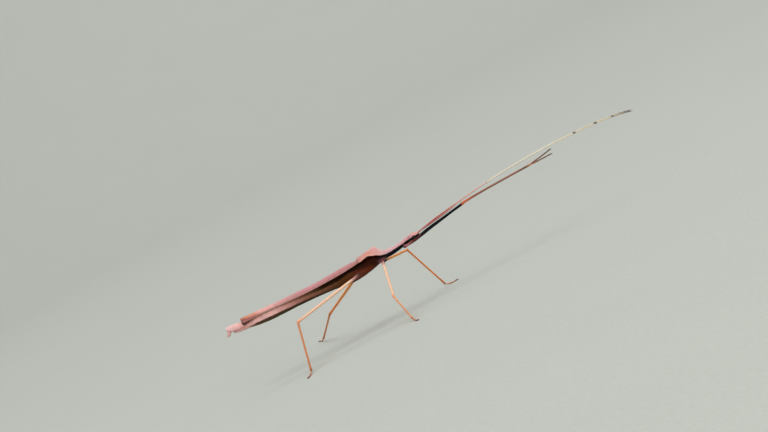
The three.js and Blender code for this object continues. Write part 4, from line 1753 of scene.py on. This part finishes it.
@dataclass
class LegBuilder:
    """Draws a leg's thigh, shin, foot and claws along given routes."""

    pair: Pair
    side: Side
    hip_inset: float = 0.5
    ridge: float = 0.07
    ridges: int = 4
    ridge_power: int = 3
    ridge_sink: float = 0.3
    claw_length: float = 0.95
    claw_spread: float = 32.0
    claw_drop: float = 0.2
    claw_root: float = 0.16
    claw_short: float = 0.2
    claw_crest: float = 0.55
    claw_arch: float = 0.16
    claw_beads: Marks = ((0.0, 0.5), (0.15, 0.52), (0.45, 0.4), (0.75, 0.24), (0.92, 0.12), (1.0, 0.05))
    socket_girth: float = 1.06
    socket_shape: Place = (1.15, 1.1, 1.0)
    socket_inset: float = 0.3
    socket_tuck: float = 0.95
    socket_lift: float = 0.08
    lobe_shape: Place = (0.95, 0.3, 0.7)
    lobe_lean: float = 0.5
    lobe_spread: float = 0.62
    pad_places: tuple[float, ...] = (0.33, 0.5, 0.63, 0.74)
    pad_shape: Place = (0.95, 0.8, 0.42)
    pad_drop: float = 0.72
    end_pad_shape: Place = (0.95, 0.8, 0.55)
    end_pad_lead: float = 0.5
    end_pad_height: float = 0.57
    end_pad_drop: float = 0.35
    # The hip joint in four stretches: its root in millimetres, its body and its neck in shares of its
    # length, and the trochanter in millimetres past its end.
    root_beads: Marks = ((0.0, 0.7), (0.15, 1.0))
    coxa_beads: Marks = ((0.35, 1.14), (0.62, 1.02))
    neck_beads: Marks = ((0.8, 0.88), (0.86, 0.74), (0.92, 0.84))
    trochanter_beads: Marks = ((0.12, 0.9), (0.3, 0.8), (0.42, 0.9))
    thigh_beads: Marks = (
        (0.03, 0.98), (0.1, 1.0), (0.22, 1.0), (0.35, 0.98), (0.5, 0.94), (0.62, 0.9), (0.74, 0.86),
        (0.84, 0.83), (0.91, 0.83), (0.955, 0.92), (0.975, 1.02), (0.99, 1.0), (0.997, 0.8), (1.0, 0.45),
    )
    foot_beads: Marks = (
        (0.0, 0.55), (0.02, 0.78), (0.1, 0.86), (0.28, 0.98), (0.34, 1.04), (0.365, 0.7), (0.385, 0.86),
        (0.5, 1.04), (0.535, 0.7), (0.55, 0.86), (0.63, 1.04), (0.66, 0.7), (0.675, 0.86), (0.74, 1.04),
        (0.77, 0.66), (0.79, 0.8), (0.9, 0.92), (0.97, 1.06), (0.99, 0.8), (1.0, 0.4),
    )
    shin_beads: Marks = (
        (0.0, 0.5), (0.008, 0.85), (0.02, 1.05), (0.045, 1.12), (0.09, 0.98), (0.2, 0.92), (0.35, 0.9),
        (0.5, 0.88), (0.65, 0.87), (0.8, 0.88), (0.9, 0.9), (0.96, 1.02), (0.985, 1.04), (0.995, 0.8),
        (1.0, 0.4),
    )

    @property
    def label(self) -> str:
        """The leg as node names spell it."""
        return f"{self.pair.value}_{self.side.label}"

    def thigh_girths(
        self, length: float, coxa: float, thick: float, swell: float,
    ) -> list[tuple[float, float]]:
        """Girths of hip joint, trochanter and thigh, which run on as one limb.

        Args:
            length: The whole route's length.
            coxa: Where the hip joint ends on it.
            thick: The thigh's radius.
            swell: How wide the hip joint is, as a share of that.

        Returns:
            Shares of the length, each with the radius there.
        """
        marks = [(mark, girth * swell) for mark, girth in self.root_beads]
        marks += [(share * coxa, girth * swell) for share, girth in self.coxa_beads]
        marks += [(share * coxa, girth) for share, girth in self.neck_beads]
        marks += [(coxa + past, girth) for past, girth in self.trochanter_beads]
        start = marks[-1][0]
        marks += [(start + (length - start) * share, girth) for share, girth in self.thigh_beads]
        return [(mark / length, girth * thick) for mark, girth in marks]

    def mark(self, piece: Object, route: Route) -> None:
        """Writes how far along the limb each vertex lies, and how far it faces the body; the second places
        the inner colour, which is painted shade on the standing legs.

        Args:
            piece: The limb, or a piece that is joined to it.
            route: The limb's middle line.
        """
        corners = piece.data.vertices
        store(piece, "reach", [nearest_on(route, corner.co)[0] for corner in corners])
        store(piece, "inner", [0.5 - 0.5 * (corner.normal.y * self.side.value) for corner in corners])

    def ridged(self, route: Route, place: Vector) -> Vector:
        """Raises a round limb into its ridges.

        Args:
            route: The limb's middle line.
            place: One place of the round limb.

        Returns:
            The same place of the ridged one.
        """
        share, middle = nearest_on(route, place)
        aim = route.aim(share)
        spoke = place - middle
        spoke -= aim * spoke.dot(aim)
        side = aim.cross(UP).normalized()
        turn = math.atan2(spoke.dot(side.cross(aim)), spoke.dot(side))
        crest = max(math.cos(self.ridges * turn), 0.0) ** self.ridge_power
        return place + spoke * self.ridge * (crest - self.ridge_sink)

    def ribbed(self, name: str, route: Route, girths: list[tuple[float, float]]) -> Object:
        """Draws a limb with four fine ridges along it.

        Args:
            name: The piece's name.
            route: The limb's middle line.
            girths: Shares of its length, each with the radius there.

        Returns:
            The limb.
        """
        limb = rod(name, route, girths, facets=16)
        sculpt(limb, lambda place: self.ridged(route, place))
        round_off(limb)
        self.mark(limb, route)
        return limb

    def knee_lobes(self, knee: Vector, thigh_aim: Vector, shin_aim: Vector, thick: float) -> list[Object]:
        """The two small lobes of the thigh's end that hold the shin between them.

        Args:
            knee: The joint's middle.
            thigh_aim: The thigh's direction.
            shin_aim: The shin's direction.
            thick: The thigh's radius.

        Returns:
            The lobes.
        """
        hinge = thigh_aim.cross(shin_aim).normalized()
        lobes = []
        for way in (-1, 1):
            lobe = ball("lobe", Vector(), tuple(thick * size for size in self.lobe_shape), facets=14)
            aim = (thigh_aim + shin_aim * self.lobe_lean).normalized()
            across = hinge * way
            turn = Matrix((aim, across, aim.cross(across))).transposed().to_4x4()
            lobe.matrix_world = Matrix.Translation(knee + hinge * way * thick * self.lobe_spread) @ turn
            bpy.ops.object.transform_apply(location=True, rotation=True, scale=True)
            lobes.append(lobe)
        return lobes

    def hip_joint(self, route: Route, thick: float) -> Object:
        """The rounded base of the hip joint, which sits in the body's flank.

        Args:
            route: The limb's middle line.
            thick: The thigh's radius.

        Returns:
            The base.
        """
        radius = thick * self.socket_girth
        middle = route.at(0.0).lerp(route.at(1.0), self.socket_inset / route.length)
        inward = Vector((0.0, -self.side.value * thick * self.socket_tuck, self.socket_lift))
        radii = tuple(radius * size for size in self.socket_shape)
        base = ball("hip_joint", middle + inward, radii, facets=18)
        self.mark(base, route)
        return base

    def claws(self, toe: Vector, aim: Vector, girth: float, floor: float | None) -> Object:
        """Two hooked claws at the end of a foot.

        Args:
            toe: The foot's end.
            aim: Its direction.
            girth: The foot's radius.
            floor: The height that the hooks come down to, or None where the foot is in the air.

        Returns:
            Both claws as one piece.
        """
        hooks = []
        for way in (-1, 1):
            turn = Matrix.Rotation(math.radians(self.claw_spread * way), 3, "Z")
            out = turn @ aim
            root = toe - aim * self.claw_root
            tip = toe + out * (self.claw_length - self.claw_short)
            tip.z = floor if floor is not None else toe.z - self.claw_drop
            crest = root.lerp(tip, self.claw_crest) + UP * self.claw_arch
            beads = [(share, girth * bead) for share, bead in self.claw_beads]
            hooks.append(rod("hook", Route((root, crest, tip)), beads, facets=10))
        claws = join(f"claws_{self.label}", hooks)
        pick(claws)
        bpy.ops.object.shade_smooth()
        return claws

    def foot(self, route: Route, girth: float, soles: bool) -> Object:
        """A foot of five joints with soft pads under them and one between the claws.

        Args:
            route: The foot's middle line.
            girth: Its radius.
            soles: Whether it stands, so that its pads are pressed flat.

        Returns:
            The foot.
        """
        foot = rod("foot", route, [(share, bead * girth) for share, bead in self.foot_beads], facets=14)
        round_off(foot)
        parts = [foot]
        pad = tuple(girth * size for size in self.pad_shape)
        for share in self.pad_places:
            middle = route.at(share)
            drop = middle.z - pad[2] if soles else girth * self.pad_drop
            parts.append(ball("pad", middle - UP * drop, pad, facets=12))
        toe = route.at(1.0) + route.aim(1.0) * girth * self.end_pad_lead
        height = girth * self.end_pad_height if soles else toe.z - girth * self.end_pad_drop
        end_pad = tuple(girth * size for size in self.end_pad_shape)
        parts.append(ball("pad", Vector((toe.x, toe.y, height)), end_pad, facets=14))
        whole = join(f"foot_{self.label}", parts)
        self.mark(whole, route)
        return whole


@dataclass
class StandingLeg:
    """One of the four legs that carry the body."""

    stance: Stance
    shin_lead: float = 0.1
    knee_lead: float = 0.5
    lobe_girth: float = 0.9
    shin_girth: float = 0.97
    heel_lead: float = 0.3
    heel_drop: float = 0.05
    ball_place: float = 0.45
    foot_lift: float = 1.1
    claw_floor: float = 0.03

    def shin_finish(self, shop: Workshop) -> Material:
        """Amber for a hind shin, salmon for a middle one."""
        return shop.finishes.hind_shin if self.stance.pair is Pair.HIND else shop.finishes.shin

    def build(self, shop: Workshop) -> None:
        """Works out the joints, then builds and dresses the leg.

        Args:
            shop: The datum and the finishes.
        """
        stance, size = self.stance, self.stance.size
        maker = LegBuilder(stance.pair, stance.side)
        aim = heading(*(math.radians(angle) for angle in stance.thigh))
        hip = Vector(stance.hip)
        knee = hip + aim * size.femur
        shin_aim = heading(math.radians(stance.shin_turn), math.asin((ANKLE_HEIGHT - knee.z) / size.tibia))
        ankle = knee + shin_aim * size.tibia
        foot_aim = heading(math.radians(stance.foot_turn), 0.0)
        label = maker.label

        start = hip - aim * maker.hip_inset
        thigh_line = Route((start, knee + aim * size.shin * self.knee_lead))
        girths = maker.thigh_girths(thigh_line.length, size.coxa + maker.hip_inset, size.thick, size.swell)
        thigh = maker.ribbed(f"thigh_{label}", thigh_line, girths)
        lobes = maker.knee_lobes(knee, aim, shin_aim, size.thick * self.lobe_girth)
        for lobe in lobes:
            maker.mark(lobe, thigh_line)
        thigh = join(f"thigh_{label}", [thigh, *lobes, maker.hip_joint(thigh_line, size.thick)])
        shop.deliver(thigh, shop.finishes.thigh, "pale_leg", f"coxa_{label}", f"femur_{label}")

        shin_line = Route((knee + shin_aim * self.shin_lead, ankle))
        beads = [(share, bead * size.shin * self.shin_girth) for share, bead in maker.shin_beads]
        shin = maker.ribbed(f"shin_{label}", shin_line, beads)
        shop.deliver(shin, self.shin_finish(shop), "rust_leg", f"tibia_{label}")

        girth = size.foot * FOOT_GIRTH
        heel = ankle + foot_aim * size.shin * self.heel_lead - UP * self.heel_drop
        ball_of_foot = ankle + foot_aim * size.tarsus * self.ball_place
        toe = ankle + foot_aim * (size.tarsus - maker.claw_length)
        ball_of_foot.z = toe.z = girth * self.foot_lift
        foot = maker.foot(Route((heel, ball_of_foot, toe)), girth, soles=True)
        shop.deliver(foot, shop.finishes.foot, "rust_leg", f"tarsus_{label}")
        claws = maker.claws(toe, foot_aim, girth, floor=self.claw_floor)
        shop.deliver(claws, shop.finishes.claw, "dark_cuticle")


# The left fore foot is raised a little above the right one.
FORE_FEET = {
    Side.LEFT: ((54.85, 0.72, 24.04), (58.8, 0.95, 24.64), (62.3, 1.15, 25.26)),
    Side.RIGHT: ((54.85, -0.72, 23.99), (58.6, -1.0, 23.99), (61.9, -1.3, 24.04)),
}


@dataclass
class ForeLeg:
    """One of the two fore legs, which curve round the head and run forward together."""

    side: Side
    coxa: Rows = ((7.45, 1.5, 19.44, 0.0), (8.75, 1.56, 19.47, 0.0))
    femur: Rows = (
        (12.4, 1.6, 19.9, 0.08), (15.6, 1.08, 20.6, 0.18), (17.5, 0.88, 20.9, 0.18),
        (20.0, 0.72, 21.32, 0.14), (22.0, 0.69, 21.64, 0.08), (24.0, 0.66, 22.0, 0.05),
        (26.5, 0.63, 22.42, 0.02), (28.5, 0.61, 22.7, 0.05), (30.75, 0.6, 23.12, 0.1),
    )
    tibia: Rows = (
        (30.6, 0.6, 23.1, 0.1), (34.0, 0.61, 23.37, 0.08), (42.0, 0.64, 23.68, 0.06),
        (54.9, 0.68, 23.98, 0.04),
    )
    root_lift: float = 0.1
    socket_lift: float = 0.24
    thick: float = 0.41
    swell: float = 1.14
    shin: float = 0.29
    foot: float = 0.25

    def build(self, shop: Workshop) -> None:
        """Builds and dresses the leg.

        Args:
            shop: The datum and the finishes.
        """
        maker = LegBuilder(Pair.FORE, self.side, socket_lift=self.socket_lift)
        label = maker.label
        marks = self.side.course((*self.coxa, *self.femur))
        root = marks[0] - (marks[1] - marks[0]).normalized() * maker.hip_inset + UP * self.root_lift
        thigh_line = Route([root, *marks])
        coxa_end = maker.hip_inset + (marks[1] - marks[0]).length
        girths = maker.thigh_girths(thigh_line.length, coxa_end, self.thick, self.swell)
        thigh = maker.ribbed(f"thigh_{label}", thigh_line, girths)
        thigh = join(f"thigh_{label}", [thigh, maker.hip_joint(thigh_line, self.thick)])
        shop.deliver(thigh, shop.finishes.fore_thigh, "black_leg", f"coxa_{label}", f"femur_{label}")

        shin_line = Route(self.side.course(self.tibia))
        beads = [(share, bead * self.shin) for share, bead in maker.shin_beads]
        shin = maker.ribbed(f"shin_{label}", shin_line, beads)
        shop.deliver(shin, shop.finishes.fore_shin, "rust_leg", f"tibia_{label}")

        route = Route(FORE_FEET[self.side])
        foot = maker.foot(route, self.foot, soles=False)
        shop.deliver(foot, shop.finishes.fore_foot, "rust_leg", f"tarsus_{label}")
        claws = maker.claws(route.at(1.0), route.aim(1.0), self.foot, floor=None)
        shop.deliver(claws, shop.finishes.claw, "dark_cuticle")


# ------------------------------------------------------------------ stage
@dataclass(frozen=True)
class FloorPaper(Finish):
    """Matt studio paper: pale and even, with the faintest fibre."""

    name: str = "studio_paper"
    glossiest: float = 0.9
    dullest: float = 0.95
    grain: float = 1.5
    blotch: float = 60.0
    shading: float = 0.02
    tint: str = "#AEB2AD"

    def paint(self, canvas: Canvas) -> NodeSocket:
        """Lays one pale tint.

        Args:
            canvas: The material to paint on.

        Returns:
            The colour.
        """
        plain = canvas.add("RGB")
        plain.outputs[0].default_value = linear(self.tint)
        return plain.outputs[0]


@dataclass
class Studio:
    """Seamless paper floor, soft lamps and the camera."""

    flat: float = 1.9
    bend: float = 1.3
    bend_steps: int = 14
    azimuth: float = 5.0
    elevation: float = 4.0
    roll: float = 28.0
    target: Place = (0.0, 0.0, 19.0)
    target_pixel: tuple[float, float] = (385.0, 258.0)
    frame_size: tuple[int, int] = (768, 432)
    distance: float = 680.0
    lens: float = 100.0
    sensor: float = 36.0

    def floor(self) -> None:
        """Adds a round sheet of paper that curves up into its own backdrop."""
        put_down()
        bpy.ops.mesh.primitive_circle_add(vertices=96, radius=self.flat, fill_type="NGON")
        sheet = bpy.context.object
        sheet.name = "paper_floor"
        bpy.ops.object.mode_set(mode="EDIT")
        bpy.ops.mesh.select_all(action="SELECT")
        reach, height = self.flat, 0.0
        for step in range(1, self.bend_steps + 1):
            turn = math.pi / 2 * step / self.bend_steps
            out, up = self.flat + self.bend * math.sin(turn), self.bend * (1 - math.cos(turn))
            bpy.ops.mesh.extrude_region_move(TRANSFORM_OT_translate={"value": (0.0, 0.0, up - height)})
            bpy.ops.transform.resize(value=(out / reach, out / reach, 1.0), center_override=(0.0, 0.0, up))
            reach, height = out, up
        bpy.ops.mesh.delete(type="ONLY_FACE")
        object_mode()
        bpy.ops.object.shade_smooth()
        sheet.data.materials.append(FloorPaper().make())

    @staticmethod
    def lamp(
        name: str, place: Place, size: float, power: float, tint: str, aim: Place = (0.0, 0.0, 0.0),
    ) -> None:
        """Adds a soft lamp.

        Args:
            name: The lamp's name.
            place: Where it hangs, in metres.
            size: Its side, in metres.
            power: Its power, in watts.
            tint: Its colour.
            aim: The place that it faces, in metres.
        """
        put_down()
        turn = (Vector(aim) - Vector(place)).to_track_quat("-Z", "Y").to_euler()
        bpy.ops.object.light_add(type="AREA", location=place, rotation=turn)
        lamp = bpy.context.object
        lamp.name = name
        lamp.data.size = size
        lamp.data.energy = power
        lamp.data.color = linear(tint)[:3]

    def lights(self) -> None:
        """Adds a broad lamp above, a fill from the camera's side, one for the backdrop and a pale sky."""
        self.lamp("top_lamp", (-0.3, -0.5, 2.4), size=2.4, power=50.0, tint="#FFFDF8")
        self.lamp("side_lamp", (0.9, -1.3, 0.7), size=0.8, power=11.5, tint="#FFF8F0")
        self.lamp(
            "backdrop_lamp", (0.0, 2.3, 2.6), size=2.0, power=38.0, tint="#FFFDF8", aim=(0.0, 2.9, 0.3),
        )
        world = bpy.data.worlds.new("pale_sky")
        bpy.context.scene.world = world
        world.use_nodes = True
        sky = world.node_tree.nodes["Background"]
        sky.inputs["Color"].default_value = linear("#F4F7FB")
        sky.inputs["Strength"].default_value = 0.33
        bpy.context.scene.view_settings.view_transform = "Standard"

    def camera(self, datum: Datum) -> None:
        """Adds the camera, rolled so that the level body climbs across the frame.

        Args:
            datum: Where the body's zero lies.
        """
        turn, rise, roll = (math.radians(angle) for angle in (self.azimuth, self.elevation, self.roll))
        back = Vector((math.sin(turn) * math.cos(rise), -math.cos(turn) * math.cos(rise), math.sin(rise)))
        level = Vector((math.cos(turn), math.sin(turn), 0.0))
        upright = back.cross(level)
        right = level * math.cos(roll) - upright * math.sin(roll)
        upward = level * math.sin(roll) + upright * math.cos(roll)
        wide, high = self.frame_size
        focal = self.lens / self.sensor * wide
        across = (self.target_pixel[0] - wide / 2) / focal
        down = (self.target_pixel[1] - high / 2) / focal
        ray = right * across - upward * down - back
        place = (Vector(self.target) - ray * self.distance) * MM + datum.shift
        put_down()
        bpy.ops.object.camera_add(location=place)
        camera = bpy.context.object
        turned = Matrix((right, upward, back)).transposed().to_4x4()
        camera.matrix_world = Matrix.Translation(place) @ turned
        camera.data.lens = self.lens
        camera.data.sensor_width = self.sensor
        camera.data.clip_start = 0.01
        camera.data.clip_end = 50.0
        bpy.context.scene.camera = camera

    def build(self, datum: Datum) -> None:
        """Sets the whole studio up.

        Args:
            datum: Where the body's zero lies.
        """
        self.floor()
        self.lights()
        self.camera(datum)


def main() -> None:
    """Builds the insect from the trunk outwards, then the studio."""
    logging.basicConfig(level=logging.INFO, format="%(message)s")
    datum = Datum.from_head()
    shop = Workshop(datum, Wardrobe())
    Trunk().build(shop)
    TailEnd().build(shop)
    HeadParts().build(shop)
    Feelers().build(shop)
    HIND_WING.build(shop, shop.finishes.wing)
    TEGMEN.build(shop, shop.finishes.tegmen)
    for stance in STANCES:
        StandingLeg(stance).build(shop)
    for side in Side:
        ForeLeg(side).build(shop)
    Studio().build(datum)


if __name__ == "__main__":
    main()
